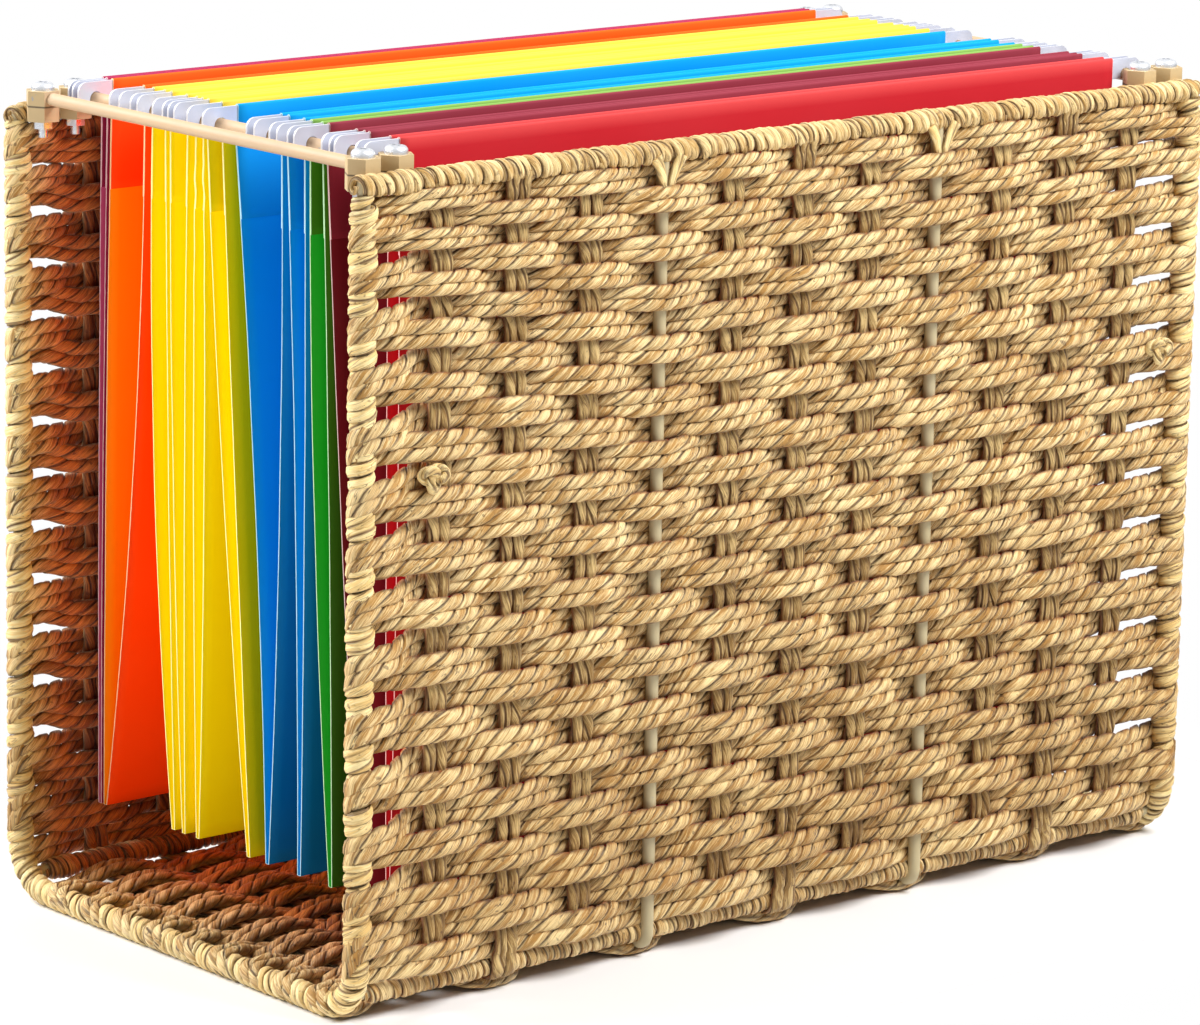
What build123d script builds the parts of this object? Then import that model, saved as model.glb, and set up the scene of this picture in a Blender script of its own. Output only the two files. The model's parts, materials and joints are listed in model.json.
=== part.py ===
from build123d import *
import os
from math import cos, radians, sin

# Hanging file basket: a welded wire frame, woven rope walls and base, file rails
# bolted across both ends, and twelve hanging files that slide along the rails.
# X runs along the files, Y from the front wall to the back wall, Z up.
# The origin is on the surface below the middle of the basket. Millimetres.

# Frame wires
wire_d = 4.0
rod_d = 3.6
bolt_span = 160.0
loop_bend_r = 15.0
stake_bend_r = 4.0
weld_gap = 0.1

# Rope wraps and woven walls
post_wrap_d = 9.0
rim_wrap_d = 7.5
foot_flat = 0.5
rope_pitch = 4.22
rope_bulge = 0.9
wall_t = 7.6
stakes_per_side = 5
painted_stake_place = 2
rope_stake_d = 3.8
rope_stake_spread = 1.85
lay_gap = 0.3
channel_gap = 0.1
eyelet_w = 7.0
eyelet_h = 4.6

# Rails, bars and their hardware
bar_d = 4.0
rail_reach = 6.35
bar_pitch = 12.3
hex_flats = 9.7
hex_h = 4.8
screw_d = 3.0
screw_gap = 0.1
head_d = 7.2
head_h = 2.5
head_crown = 1.7
recess_w = 0.9
recess_l = 3.6
recess_deep = 1.2
nut_flats = 5.5
nut_h = 2.4
tip_l = 2.8

# Hanging files
file_w = 298.0
file_h = 235.3
file_clearance = 20.8
card_t = 0.4
fold_w = 1.7
lap_l = 35.0
strip_t = 0.8
strip_h = 10.0
slot_gap = 0.05
hook_past = 6.65
hook_h = 6.5
hook_corner_r = 3.0
hook_seat_gap = 0.3
hook_lift = 3.4

# Places that follow from the sizes above
rail_x = file_w / 2 + rail_reach
end_bar_x = rail_x + bar_pitch
bolt_xs = (-end_bar_x, -rail_x, rail_x, end_bar_x)
loop_x = end_bar_x + hex_flats / 2
stake_pitch = loop_x / (stakes_per_side + 1)
stake_x = stake_pitch * painted_stake_place
frame_y = bolt_span / 2 + hex_flats / 2 + rod_d / 2
loop_z = post_wrap_d / 2 - foot_flat
bend_inset = loop_bend_r * (1 - cos(radians(45)))
base_y = frame_y - bend_inset
base_z = loop_z + bend_inset
stake_z = base_z - (rod_d + wire_d) / 2 - weld_gap
file_low_z = stake_z + wall_t / 2 + file_clearance
file_top_z = file_low_z + file_h
bar_z = file_top_z - card_t - hook_lift - bar_d / 2
seat_z = bar_z + hex_h / 2
rim_z = seat_z - 1.5 * hex_h
rod_end_x = loop_x - wire_d / 2
wrap_end_x = loop_x + post_wrap_d / 2
wall_end_x = loop_x - post_wrap_d / 2 - lay_gap
wall_low_z = base_z + rim_wrap_d / 2 + lay_gap
wall_top_z = rim_z - rim_wrap_d / 2 - lay_gap
base_edge_y = base_y - rim_wrap_d / 2 - lay_gap
hex_corners = hex_flats / cos(radians(30))
stitch_gap = wire_d + 2 * channel_gap


def save(part, name):
    part.label = name
    export_step(part, f"parts/{name}.step")


def save_pair(right, name):
    """Save a piece of the right end, and its mirror image at the left end."""
    with BuildPart() as left:
        mirror(right, about=Plane.YZ)
    save(right, f"right_{name}")
    save(left.part, f"left_{name}")


def u_path(leg_y, low_z, top_z, bend_r):
    """Line of a U-shaped wire in the plane across the basket."""
    return [
        (leg_y, top_z),
        (leg_y, low_z + bend_r),
        (leg_y - bend_r * (1 - cos(radians(45))), low_z + bend_r * (1 - sin(radians(45)))),
        (leg_y - bend_r, low_z),
    ]


def u_wire(x, diameter, low_z, top_z, bend_r, bore=0.0):
    """U-shaped round wire, or a tube when it has a bore, across the basket at x."""
    top, bend_top, bend_mid, bend_low = u_path(frame_y, low_z, top_z, bend_r)
    with BuildPart() as wire:
        with BuildLine(Plane.YZ.offset(x)):
            Line(top, bend_top)
            ThreePointArc(bend_top, bend_mid, bend_low)
            Line(bend_low, (-bend_low[0], low_z))
            ThreePointArc((-bend_low[0], low_z), (-bend_mid[0], bend_mid[1]), (-bend_top[0], bend_top[1]))
            Line((-bend_top[0], bend_top[1]), (-top[0], top[1]))
        with BuildSketch(Plane.XY.offset(top_z)):
            with Locations((x, frame_y)):
                Circle(diameter / 2)
                if bore:
                    Circle(bore / 2, mode=Mode.SUBTRACT)
        sweep()
    return wire.part


def hex_block(flats, height, bore):
    """Hexagonal block with a clearance bore, its flats facing along Y."""
    with BuildPart() as block:
        with BuildSketch():
            RegularPolygon(radius=flats / 2, side_count=6, major_radius=False, rotation=0)
        extrude(amount=height)
        Hole(bore / 2)
    return block


def scalloped_wall(rows, pitch, thickness, bulge):
    """Profile of a wall of doubled rope rows: U across the wall, V along it."""
    half = thickness / 2
    groove = half - bulge
    with BuildSketch() as profile:
        with BuildLine():
            for row in range(rows):
                low = row * pitch
                ThreePointArc((groove, low), (half, low + pitch / 2), (groove, low + pitch))
                ThreePointArc((-groove, low), (-half, low + pitch / 2), (-groove, low + pitch))
            Line((groove, 0), (-groove, 0))
            Line((groove, rows * pitch), (-groove, rows * pitch))
        make_face()
    return profile.sketch


os.makedirs("parts", exist_ok=True)

# End loops: the two wrapped U wires that carry the bars
loop_top_z = rim_z + rod_d / 2
save_pair(u_wire(loop_x, wire_d, loop_z, loop_top_z, loop_bend_r), "end_loop")

# Painted stakes: two bare U wires that pass outside the base rods
stake_top_z = rim_z - rod_d / 2 - weld_gap
save_pair(u_wire(stake_x, wire_d, stake_z, stake_top_z, stake_bend_r), "painted_stake")

# Rim rods and base rods: straight wires from end loop to end loop
rods = (
    ("front_rim_rod", -frame_y, rim_z),
    ("back_rim_rod", frame_y, rim_z),
    ("front_base_rod", -base_y, base_z),
    ("back_base_rod", base_y, base_z),
)
for name, y, z in rods:
    with BuildPart() as rod:
        with BuildSketch(Plane.YZ.offset(-rod_end_x)):
            with Locations((y, z)):
                Circle(rod_d / 2)
        extrude(amount=2 * rod_end_x)
    save(rod.part, name)

# Frame blocks: the hexagonal blocks welded inside the rim rods, one under each bar end
block = hex_block(hex_flats, hex_h, screw_d + 2 * screw_gap)
block_places = [(x, y, seat_z - 2 * hex_h) for x in bolt_xs for y in (-bolt_span / 2, bolt_span / 2)]
with BuildPart() as frame_blocks:
    with Locations(*block_places):
        add(block.part)
save(frame_blocks.part, "frame_blocks")

# Bars across the ends: the inner pair carries letter files, the outer pair longer files
bars = (
    ("left_end_bar", -end_bar_x),
    ("left_file_rail", -rail_x),
    ("right_file_rail", rail_x),
    ("right_end_bar", end_bar_x),
)
bar_half = bolt_span / 2 - hex_flats / 2
for name, x in bars:
    with BuildPart() as bar:
        with BuildSketch(Plane.XZ.offset(-bar_half)):
            with Locations((x, bar_z)):
                Circle(bar_d / 2)
        extrude(amount=2 * bar_half)
        with Locations((x, -bolt_span / 2, seat_z - hex_h), (x, bolt_span / 2, seat_z - hex_h)):
            add(block.part)
    save(bar.part, name)

# Screws: pan heads with a cross recess, through the bar block and the frame block
shank_l = 2 * hex_h + nut_h + tip_l
with BuildPart() as screw:
    Cylinder(head_d / 2, head_h, align=(Align.CENTER, Align.CENTER, Align.MIN))
    fillet(screw.edges().sort_by(Axis.Z)[-1], head_crown)
    Cylinder(screw_d / 2, shank_l, align=(Align.CENTER, Align.CENTER, Align.MAX))
    with BuildSketch(Plane.XY.offset(head_h)):
        Rectangle(recess_l, recess_w)
        Rectangle(recess_w, recess_l)
    extrude(amount=-recess_deep, mode=Mode.SUBTRACT)
with BuildPart() as cap_screws:
    with Locations(*[(x, y, seat_z) for x in bolt_xs for y in (-bolt_span / 2, bolt_span / 2)]):
        add(screw.part)
save(cap_screws.part, "cap_screws")

# Nuts under the frame blocks
nut = hex_block(nut_flats, nut_h, screw_d)
nut_z = seat_z - 2 * hex_h - nut_h
with BuildPart() as lock_nuts:
    with Locations(*[(x, y, nut_z) for x in bolt_xs for y in (-bolt_span / 2, bolt_span / 2)]):
        add(nut.part)
save(lock_nuts.part, "lock_nuts")

# Wraps of the end loops, flattened where they stand on the surface
with BuildPart() as loop_wrap:
    add(u_wire(loop_x, post_wrap_d, loop_z, wall_top_z, loop_bend_r, bore=wire_d))
    with Locations((loop_x, 0, 0)):
        Box(
            2 * post_wrap_d,
            3 * frame_y,
            post_wrap_d,
            align=(Align.CENTER, Align.CENTER, Align.MAX),
            mode=Mode.SUBTRACT,
        )
    with Locations(Location((0, -base_y, base_z), (0, 90, 0)), Location((0, base_y, base_z), (0, 90, 0))):
        Cylinder(rod_d / 2 + channel_gap, 2 * rod_end_x, mode=Mode.SUBTRACT)
save_pair(loop_wrap.part, "loop_wrap")

# Wraps of the rim rods, open round the welded blocks and where the painted stakes rise
block_low_z = seat_z - 2 * hex_h - channel_gap
for side, y in (("front", -frame_y), ("back", frame_y)):
    inward = -1 if y > 0 else 1
    with BuildPart() as rim_wrap:
        with BuildSketch(Plane.YZ.offset(-wrap_end_x)):
            with Locations((y, rim_z)):
                Circle(rim_wrap_d / 2)
        extrude(amount=2 * wrap_end_x)
        with BuildSketch(Plane.YZ.offset(-loop_x)):
            with Locations((y, rim_z)):
                Circle(rod_d / 2)
        extrude(amount=2 * loop_x, mode=Mode.SUBTRACT)
        for x in (-loop_x, loop_x):
            with Locations((x, y, rim_z + rod_d / 2 + channel_gap)):
                Cylinder(
                    wire_d / 2,
                    rim_wrap_d,
                    align=(Align.CENTER, Align.CENTER, Align.MAX),
                    mode=Mode.SUBTRACT,
                )
        for x in (-stake_x, stake_x):
            with Locations((x, y, rim_z)):
                Box(stitch_gap, 2 * rim_wrap_d, 2 * rim_wrap_d, mode=Mode.SUBTRACT)
        for x in (-(rail_x + end_bar_x) / 2, (rail_x + end_bar_x) / 2):
            with Locations((x, y + inward * (rod_d / 2 - channel_gap), block_low_z)):
                Box(
                    bar_pitch + hex_corners + 2 * channel_gap,
                    2 * hex_flats,
                    3 * hex_h,
                    align=(Align.CENTER, Align.MIN if inward > 0 else Align.MAX, Align.MIN),
                    mode=Mode.SUBTRACT,
                )
    save(rim_wrap.part, f"{side}_rim_wrap")

# Wraps of the base rods, parted where the painted stakes pass outside them
for side, y in (("front", -base_y), ("back", base_y)):
    with BuildPart() as base_wrap:
        with BuildSketch(Plane.YZ.offset(-wall_end_x)):
            with Locations((y, base_z)):
                Circle(rim_wrap_d / 2)
                Circle(rod_d / 2, mode=Mode.SUBTRACT)
        extrude(amount=2 * wall_end_x)
        for x in (-stake_x, stake_x):
            with Locations((x, y, base_z)):
                Box(stitch_gap, 2 * rim_wrap_d, 2 * rim_wrap_d, mode=Mode.SUBTRACT)
    save(base_wrap.part, f"{side}_base_wrap")

# Rope stakes: doubled ropes between the painted stakes and the posts
rope_xs = [
    place * stake_pitch
    for place in range(-stakes_per_side, stakes_per_side + 1)
    if abs(place) != painted_stake_place
]
wall_h = wall_top_z - wall_low_z
rope_stakes = (
    ("front_rope_stakes", Plane.XY.offset(wall_low_z), -frame_y, wall_h),
    ("back_rope_stakes", Plane.XY.offset(wall_low_z), frame_y, wall_h),
    ("base_rope_stakes", Plane.XZ.offset(-base_edge_y), stake_z, 2 * base_edge_y),
)
for name, plane, place, length in rope_stakes:
    with BuildPart() as stakes:
        with BuildSketch(plane):
            for x in rope_xs:
                with Locations((x - rope_stake_spread, place), (x + rope_stake_spread, place)):
                    Circle(rope_stake_d / 2)
        extrude(amount=length)
    save(stakes.part, name)

# Woven walls: rows of doubled rope along X, bored for the stakes, with an eyelet beside each
# post where two rows part, at every second joint, one joint higher at one end than at the other
rows = 2 * round(wall_h / (4 * rope_pitch))
row_pitch = wall_h / rows
channel_w = 2 * rope_stake_spread + rope_stake_d + 2 * channel_gap
channel_h = rope_stake_d + 2 * channel_gap
wall_profile = scalloped_wall(rows, row_pitch, wall_t, rope_bulge)
with BuildPart() as wall:
    with BuildSketch(Plane.YZ.offset(-wall_end_x)):
        with Locations((-frame_y, wall_low_z)):
            add(wall_profile)
    extrude(amount=2 * wall_end_x)
    with BuildSketch(Plane.XY.offset(wall_low_z)):
        with Locations(*[(x, -frame_y) for x in rope_xs]):
            SlotOverall(channel_w, channel_h)
        with Locations((-stake_x, -frame_y), (stake_x, -frame_y)):
            Circle(wire_d / 2 + channel_gap)
    extrude(amount=wall_h, mode=Mode.SUBTRACT)
    with BuildSketch(Plane.XZ.offset(frame_y)):
        for turn, x, first in ((0, -wall_end_x, 2), (180, wall_end_x, 1)):
            for joint in range(first, rows, 2):
                with Locations(Location((x, wall_low_z + row_pitch * joint, 0), (0, 0, turn))):
                    with BuildLine(mode=Mode.PRIVATE) as eyelet:
                        Polyline(
                            (-lay_gap, -eyelet_h / 2),
                            (eyelet_w, 0),
                            (-lay_gap, eyelet_h / 2),
                            close=True,
                        )
                    add(make_face(eyelet.edges(), mode=Mode.PRIVATE))
    extrude(amount=wall_t, both=True, mode=Mode.SUBTRACT)
save(wall.part, "front_weave")
with BuildPart() as back_wall:
    with Locations(Location((0, 0, 0), (0, 0, 180))):
        add(wall.part)
save(back_wall.part, "back_weave")

# Woven base between the base rods
base_rows = round(base_edge_y / rope_pitch)
base_profile = scalloped_wall(base_rows, 2 * base_edge_y / base_rows, wall_t, rope_bulge)
with BuildPart() as base_weave:
    with BuildSketch(Plane.YZ.offset(-wall_end_x)):
        with Locations(Location((-base_edge_y, stake_z, 0), (0, 0, -90))):
            add(base_profile)
    extrude(amount=2 * wall_end_x)
    with BuildSketch(Plane.XZ.offset(-base_edge_y)):
        with Locations(*[(x, stake_z) for x in rope_xs]):
            SlotOverall(channel_w, channel_h)
        with Locations((-stake_x, stake_z), (stake_x, stake_z)):
            Circle(wire_d / 2 + channel_gap)
    extrude(amount=2 * base_edge_y, mode=Mode.SUBTRACT)
save(base_weave.part, "base_weave")


# Hanging files, back to front: where the far and near leaves hang on the rails, where the
# fold lies, and how far each leaf bows at half height, in shares of half the bolt span
files = {
    "plum_file": (0.9287, 0.9025, 0.9525, 0.0075, 0.0125),
    "orange_file": (0.8650, 0.6575, 0.9163, 0.0112, -0.0537),
    "yellow_file_1": (0.5950, 0.5225, 0.4588, 0.0512, 0.0125),
    "yellow_file_2": (0.4787, 0.3800, 0.3900, 0.0200, 0.0138),
    "yellow_file_3": (0.3163, 0.2812, 0.2987, 0.0125, -0.0187),
    "yellow_file_4": (0.2425, 0.1588, -0.0312, 0.0225, 0.0037),
    "blue_file_1": (0.0625, -0.2112, -0.1512, -0.0275, -0.0238),
    "blue_file_2": (-0.2575, -0.3513, -0.3513, -0.0212, -0.0112),
    "green_file": (-0.3962, -0.4612, -0.5463, 0.0287, -0.0075),
    "wine_file_1": (-0.5000, -0.6663, -0.7250, 0.0050, -0.0150),
    "wine_file_2": (-0.7125, -0.7425, -0.7725, -0.0112, -0.0112),
    "red_file": (-0.8650, -0.9150, -0.8950, 0.0063, -0.0187),
}
slot_w = strip_t + 2 * slot_gap
slot_h = strip_h + 2 * slot_gap
sleeve_w = slot_w + 2 * card_t
sleeve_low_z = file_top_z - 2 * card_t - slot_h
strip_top_z = file_top_z - card_t - slot_gap


def leaf(hang_y, fold_y, bow, side, low_z, thickness):
    """One band of card from low_z up to the sleeve, following the leaf's bow."""
    foot_y = fold_y + side * fold_w / 2
    top_y = hang_y + side * sleeve_w / 2
    middle = ((foot_y + top_y) / 2 + bow, (file_low_z + sleeve_low_z) / 2)
    with BuildSketch() as band:
        with BuildLine():
            outer = ThreePointArc((foot_y, file_low_z), middle, (top_y, sleeve_low_z))
            inner = ThreePointArc(
                (foot_y - side * thickness, file_low_z),
                (middle[0] - side * thickness, middle[1]),
                (top_y - side * thickness, sleeve_low_z),
            )
            Line(outer @ 0, inner @ 0)
            Line(outer @ 1, inner @ 1)
        make_face()
        if low_z > file_low_z:
            with Locations((hang_y, low_z)):
                Rectangle(
                    4 * sleeve_w + 2 * abs(fold_y - hang_y),
                    file_top_z - low_z,
                    align=(Align.CENTER, Align.MIN),
                    mode=Mode.INTERSECT,
                )
    return band.sketch


def card(far_y, near_y, fold_y, far_bow, near_bow):
    """Card sheet of one file: two bowed leaves, the fold, and a glued sleeve over each strip."""
    with BuildPart() as sheet:
        with BuildSketch(Plane.YZ.offset(-file_w / 2)):
            for hang_y, bow, side in ((far_y, far_bow, 1), (near_y, near_bow, -1)):
                add(leaf(hang_y, fold_y, bow, side, file_low_z, card_t))
                add(leaf(hang_y, fold_y, bow, side, file_top_z - lap_l, 2 * card_t))
                with Locations((hang_y, file_top_z)):
                    Rectangle(sleeve_w, file_top_z - sleeve_low_z, align=(Align.CENTER, Align.MAX))
                with Locations((hang_y, file_top_z - card_t)):
                    Rectangle(slot_w, slot_h, align=(Align.CENTER, Align.MAX), mode=Mode.SUBTRACT)
            with Locations((fold_y, file_low_z)):
                Rectangle(fold_w, card_t, align=(Align.CENTER, Align.MIN))
        extrude(amount=file_w)
    return sheet.part


def strip():
    """Hanger strip in the XZ plane: a flat bar whose notched ends hook over the rails."""
    tip_x = rail_x + hook_past
    notch_w = bar_d + 2 * hook_seat_gap
    with BuildPart() as hanger:
        with BuildSketch(Plane.XZ.offset(-strip_t / 2)) as outline:
            with Locations((0, strip_top_z)):
                Rectangle(2 * tip_x, hook_h, align=(Align.CENTER, Align.MAX))
            fillet(outline.vertices().group_by(Axis.Y)[-1], hook_corner_r)
            with Locations((0, strip_top_z)):
                Rectangle(file_w, strip_h, align=(Align.CENTER, Align.MAX))
            with Locations((-rail_x, bar_z), (rail_x, bar_z)):
                Circle(notch_w / 2, mode=Mode.SUBTRACT)
                Rectangle(notch_w, hook_h, align=(Align.CENTER, Align.MAX), mode=Mode.SUBTRACT)
        extrude(amount=strip_t)
    return hanger.part


hanger = strip()
for name, shares in files.items():
    far_y, near_y, fold_y, far_bow, near_bow = (share * bolt_span / 2 for share in shares)
    save(card(far_y, near_y, fold_y, far_bow, near_bow), f"{name}_card")
    with BuildPart() as hangers:
        with Locations((0, far_y, 0), (0, near_y, 0)):
            add(hanger)
    save(hangers.part, f"{name}_hangers")
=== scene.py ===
import json
from math import cos, pi, radians, sin, tau

import bpy
import numpy as np
from mathutils import Matrix, Vector

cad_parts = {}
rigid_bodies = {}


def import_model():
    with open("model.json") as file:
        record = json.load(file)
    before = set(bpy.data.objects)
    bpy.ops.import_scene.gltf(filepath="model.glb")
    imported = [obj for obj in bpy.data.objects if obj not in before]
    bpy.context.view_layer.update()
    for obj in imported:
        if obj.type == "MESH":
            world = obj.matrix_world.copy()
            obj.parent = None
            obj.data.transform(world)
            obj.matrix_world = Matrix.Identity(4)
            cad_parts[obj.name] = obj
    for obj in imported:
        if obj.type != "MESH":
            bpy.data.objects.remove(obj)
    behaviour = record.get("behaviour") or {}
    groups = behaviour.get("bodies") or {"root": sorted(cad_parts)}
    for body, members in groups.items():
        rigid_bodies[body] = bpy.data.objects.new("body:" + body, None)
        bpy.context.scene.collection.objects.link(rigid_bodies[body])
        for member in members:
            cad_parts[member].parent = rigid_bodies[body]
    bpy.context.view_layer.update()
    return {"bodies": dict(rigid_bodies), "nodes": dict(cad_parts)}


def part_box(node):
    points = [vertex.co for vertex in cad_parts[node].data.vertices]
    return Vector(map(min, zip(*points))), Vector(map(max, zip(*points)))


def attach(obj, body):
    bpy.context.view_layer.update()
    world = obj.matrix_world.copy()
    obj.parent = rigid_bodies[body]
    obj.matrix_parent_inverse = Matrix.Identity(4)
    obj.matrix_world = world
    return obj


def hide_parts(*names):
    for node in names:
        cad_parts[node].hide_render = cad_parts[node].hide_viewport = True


bl_info = {
    "name": "Hanging File Basket",
    "version": (1, 0, 0),
    "blender": (4, 5, 0),
    "location": "3D View > Sidebar > Basket",
    "description": "Rope, straw, card and paint of a woven hanging file basket, round its frame",
    "category": "Add Mesh",
}

MM = 0.001
BASKET = "basket"

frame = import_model()
FILES = sorted(name for name in frame["bodies"] if name != BASKET)


def middle(node_name):
    """Centre of a node's box."""
    low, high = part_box(node_name)
    return np.array((low + high) / 2)


# Places read from the frame
POST_X = middle("right_end_loop")[0]
WALL_Y = middle("back_weave")[1]
WALL_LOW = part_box("front_weave")[0].z
WALL_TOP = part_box("front_weave")[1].z
STAKE_PITCH = middle("right_painted_stake")[0] / 2
STAKES_PER_SIDE = round(POST_X / STAKE_PITCH) - 1
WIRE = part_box("right_end_loop")[1].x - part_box("right_end_loop")[0].x
LOOP_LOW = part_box("right_end_loop")[0].z + WIRE / 2
LOOP_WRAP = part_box("right_loop_wrap")[1].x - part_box("right_loop_wrap")[0].x
RIM_Z = middle("front_rim_rod")[2]
RIM_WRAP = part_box("front_rim_wrap")[1].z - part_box("front_rim_wrap")[0].z
RIM_WRAP_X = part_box("front_rim_wrap")[1].x
BASE_ROD_Y = middle("back_base_rod")[1]
BASE_ROD_Z = middle("back_base_rod")[2]
BASE_Z = middle("base_weave")[2]
BASE_EDGE_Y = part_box("base_weave")[1].y
BASE_WRAP_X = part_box("front_base_wrap")[1].x
BLOCK_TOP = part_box("frame_blocks")[1]
CARD_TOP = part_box("red_file_card")[1].z

# Rows of the weave, rings of a stake strand, and points of a card's surface
WALL_ROWS = 29
BASE_ROWS = 19
STAKE_RINGS = 361
CARD_STATIONS = 70
LEAF_POINTS = 46

# Lowest heights of the surfaces of the rope and of the wound straw
ROPE_REST = 0.12 * MM
WRAP_REST = 0.1 * MM

# Length of strand in which it makes one full twist: stakes, their collars, rod wraps and knots
STAKE_LAY = 46 * MM
COLLAR_LAY = 50 * MM
ROD_LAY = 38 * MM
KNOT_LAY = 11 * MM

# Distance between the points of a wire that straw is wound round
WIRE_STEP = 0.6 * MM

# How far daylight reaches in from the open ends, along the walls and along the base: the painted
# shade inside the basket fades out over these
DAYLIGHT_WALL = 20 * MM
DAYLIGHT_BASE = 55 * MM

# How far the rows are drawn up, in mm, at shares of the wall's height: the front wall at its
# left end, in the middle and at its right end, and the back wall
DRAWN_AT = (0, 0.1, 0.2, 0.3, 0.4, 0.5, 0.6, 0.7, 0.8, 0.9, 1.0)
DRAWN_FRONT = ((0.0, 2.6, 3.4, 6.8, 9.4, 9.8, 10.4, 12.4, 12.4, 8.4, 1.4),
               (-1.0, 2.8, 4.4, 5.4, 6.0, 5.4, 5.0, 4.6, 4.5, 2.8, 0.5),
               (-1.0, 2.8, 4.6, 6.0, 7.4, 7.4, 7.2, 7.0, 7.4, 6.8, 0.6))
DRAWN_BACK = (-2.0, -1.3, -1.3, -0.9, -0.2, 0.6, 1.5, 2.4, 3.2, 3.2, 0.6)

# How the rows lean together at an end: from which row on, how far from the end it starts, over
# what length, and by what share of the distance between rows. The top rows lean less.
LEAN_NEAR = (3, 24 * MM, 14 * MM, 0.5)
LEAN_FAR = (3, 36 * MM, 18 * MM, 0.34)
LEAN_BACK = (5, 22 * MM, 14 * MM, 0.43)
LEAN_BASE = (1, 15 * MM, 13 * MM, 0.5)
TOP_LEAN = 0.4

# Wrap of each long rod: side, place in Y and Z, half length, seed, and in mm its pitch and
# half thickness
ROD_WRAPS = (
    ("front_rim", -WALL_Y, RIM_Z, RIM_WRAP_X, 61, 3.7, 1.15),
    ("back_rim", WALL_Y, RIM_Z, RIM_WRAP_X, 62, 3.7, 1.15),
    ("front_base", -BASE_ROD_Y, BASE_ROD_Z, BASE_WRAP_X, 63, 2.9, 1.1),
    ("back_base", BASE_ROD_Y, BASE_ROD_Z, BASE_WRAP_X, 64, 2.9, 1.1),
)

# Middles of the two knots in the front wall
KNOTS = ((-0.1491, -0.0915, 0.1657), (0.1577, -0.0915, 0.1694))

# Width of the hexagonal blocks across their flats
BLOCK = 9.7 * MM

# Half thickness of a hanger strip, and the card's room round it
STRIP_HALF = 0.4 * MM
SLEEVE_ROOM = 0.5 * MM

# Bow of each file's far and near leaf at half height, in mm, as in its solid
LEAF_BOWS = {
    "plum_file": (0.6, 1.0), "orange_file": (0.9, -4.3),
    "yellow_file_1": (4.1, 1.0), "yellow_file_2": (1.6, 1.1),
    "yellow_file_3": (1.0, -1.5), "yellow_file_4": (1.8, 0.3),
    "blue_file_1": (-2.2, -1.9), "blue_file_2": (-1.7, -0.9), "green_file": (2.3, -0.6),
    "wine_file_1": (0.4, -1.2), "wine_file_2": (-0.9, -0.9), "red_file": (0.5, -1.5),
}

# Painted glow: emission in the card's own colour, as a share of it, standing in for light through
# the card
CARD_PAINTED_GLOW = 0.20

# Colour of each card outside, inside and on its sleeves, linear. The sleeve colour is a painted
# top light, and the darker outside colours are partly the card's own tone and partly painted
# shade.
CARD_COLOURS = {
    "plum": ((0.22, 0.004, 0.030), (0.45, 0.05, 0.12), (0.35, 0.03, 0.09)),
    "orange": ((1.0, 0.050, 0.0), (1.0, 0.23, 0.0), (1.0, 0.12, 0.012)),
    "yellow": ((0.70, 0.56, 0.0), (0.97, 0.72, 0.0), (0.86, 0.60, 0.075)),
    "blue": ((0.0, 0.22, 0.56), (0.0, 0.25, 0.64), (0.004, 0.32, 0.70)),
    "green": ((0.040, 0.155, 0.004), (0.016, 0.35, 0.020), (0.22, 0.40, 0.09)),
    "wine": ((0.18, 0.012, 0.021), (0.14, 0.006, 0.010), (0.25, 0.035, 0.055)),
    "red": ((0.45, 0.014, 0.022), (0.50, 0.012, 0.020), (0.60, 0.06, 0.06)),
}

# Painted light: how near the outsides of the files that catch more light come to their inside
# colour
PALE_OUTSIDE = {"yellow_file_1": 0.8, "yellow_file_2": 0.8, "yellow_file_3": 0.8}

# Painted shade at the foot of a card: how much of its outer colour is left there, where little
# light reaches
CARD_FOOT_SHADE = {"blue": 0.5, "green": 0.5, "yellow": 0.85}

# Seam under the bars' blocks, and cut edges of the hanger strips
SEAM_COLOUR = (0.03, 0.018, 0.008, 1)
STRIP_EDGE = (0.60, 0.61, 0.65, 1)

# Painted shade low in the walls: share of the straw's colour left there, and the heights over
# which it fades out upwards and sets in above the base
LOW_WALL_SHADE = (0.80, 0.73, 0.62, 1)
LOW_FADES = (0.02, 0.14)
LOW_STARTS = (0.011, 0.03)

# Lamps: name, place and size; both point at the middle of the basket
LAMP_TARGET = (0, 0, 0.12)
KEY_LAMP = ("Key lamp", (-0.95, 0.95, 1.15), 1.3)
FRONT_LAMP = ("Front lamp", (0.35, -0.8, 1.15), 0.8)

# Half width of the floor, and how far from the basket it has faded into the surround
FLOOR_HALF = 6.0
FLOOR_FADE = 0.125

# Section of a two-strand rope: angle in degrees, radius, and how deep in the crease it is, which
# weights the shade painted into the crease
ROPE_LOBE = ((0, 0.50, 1.0), (9, 0.83, 0.82), (24, 0.98, 0.05), (66, 1.02, 0.0),
             (114, 1.02, 0.0), (156, 0.98, 0.05), (171, 0.83, 0.82))


def length_prop(name, description, default, low=0.0):
    """Property for a length."""
    return bpy.props.FloatProperty(name=name, description=description, default=default,
                                   min=low, unit="LENGTH", subtype="DISTANCE")


def colour_prop(name, description, default):
    """Property for a linear colour."""
    return bpy.props.FloatVectorProperty(name=name, description=description,
                                         default=default, size=3, subtype="COLOR")


def power_prop(name, description, default):
    """Property for the power of a lamp."""
    return bpy.props.FloatProperty(name=name, description=description, default=default,
                                   min=0, unit="POWER")


# Name and description of each of a straw's three colours
LIT = ("Straw", "Colour of the straw's ridges")
DEEP = ("Deep straw", "Colour between the fibres")
# The crease colour is painted shade, deep between two strands and where ropes touch
CREASE_SHADE = ("Crease", "Colour deep between two strands")


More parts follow.
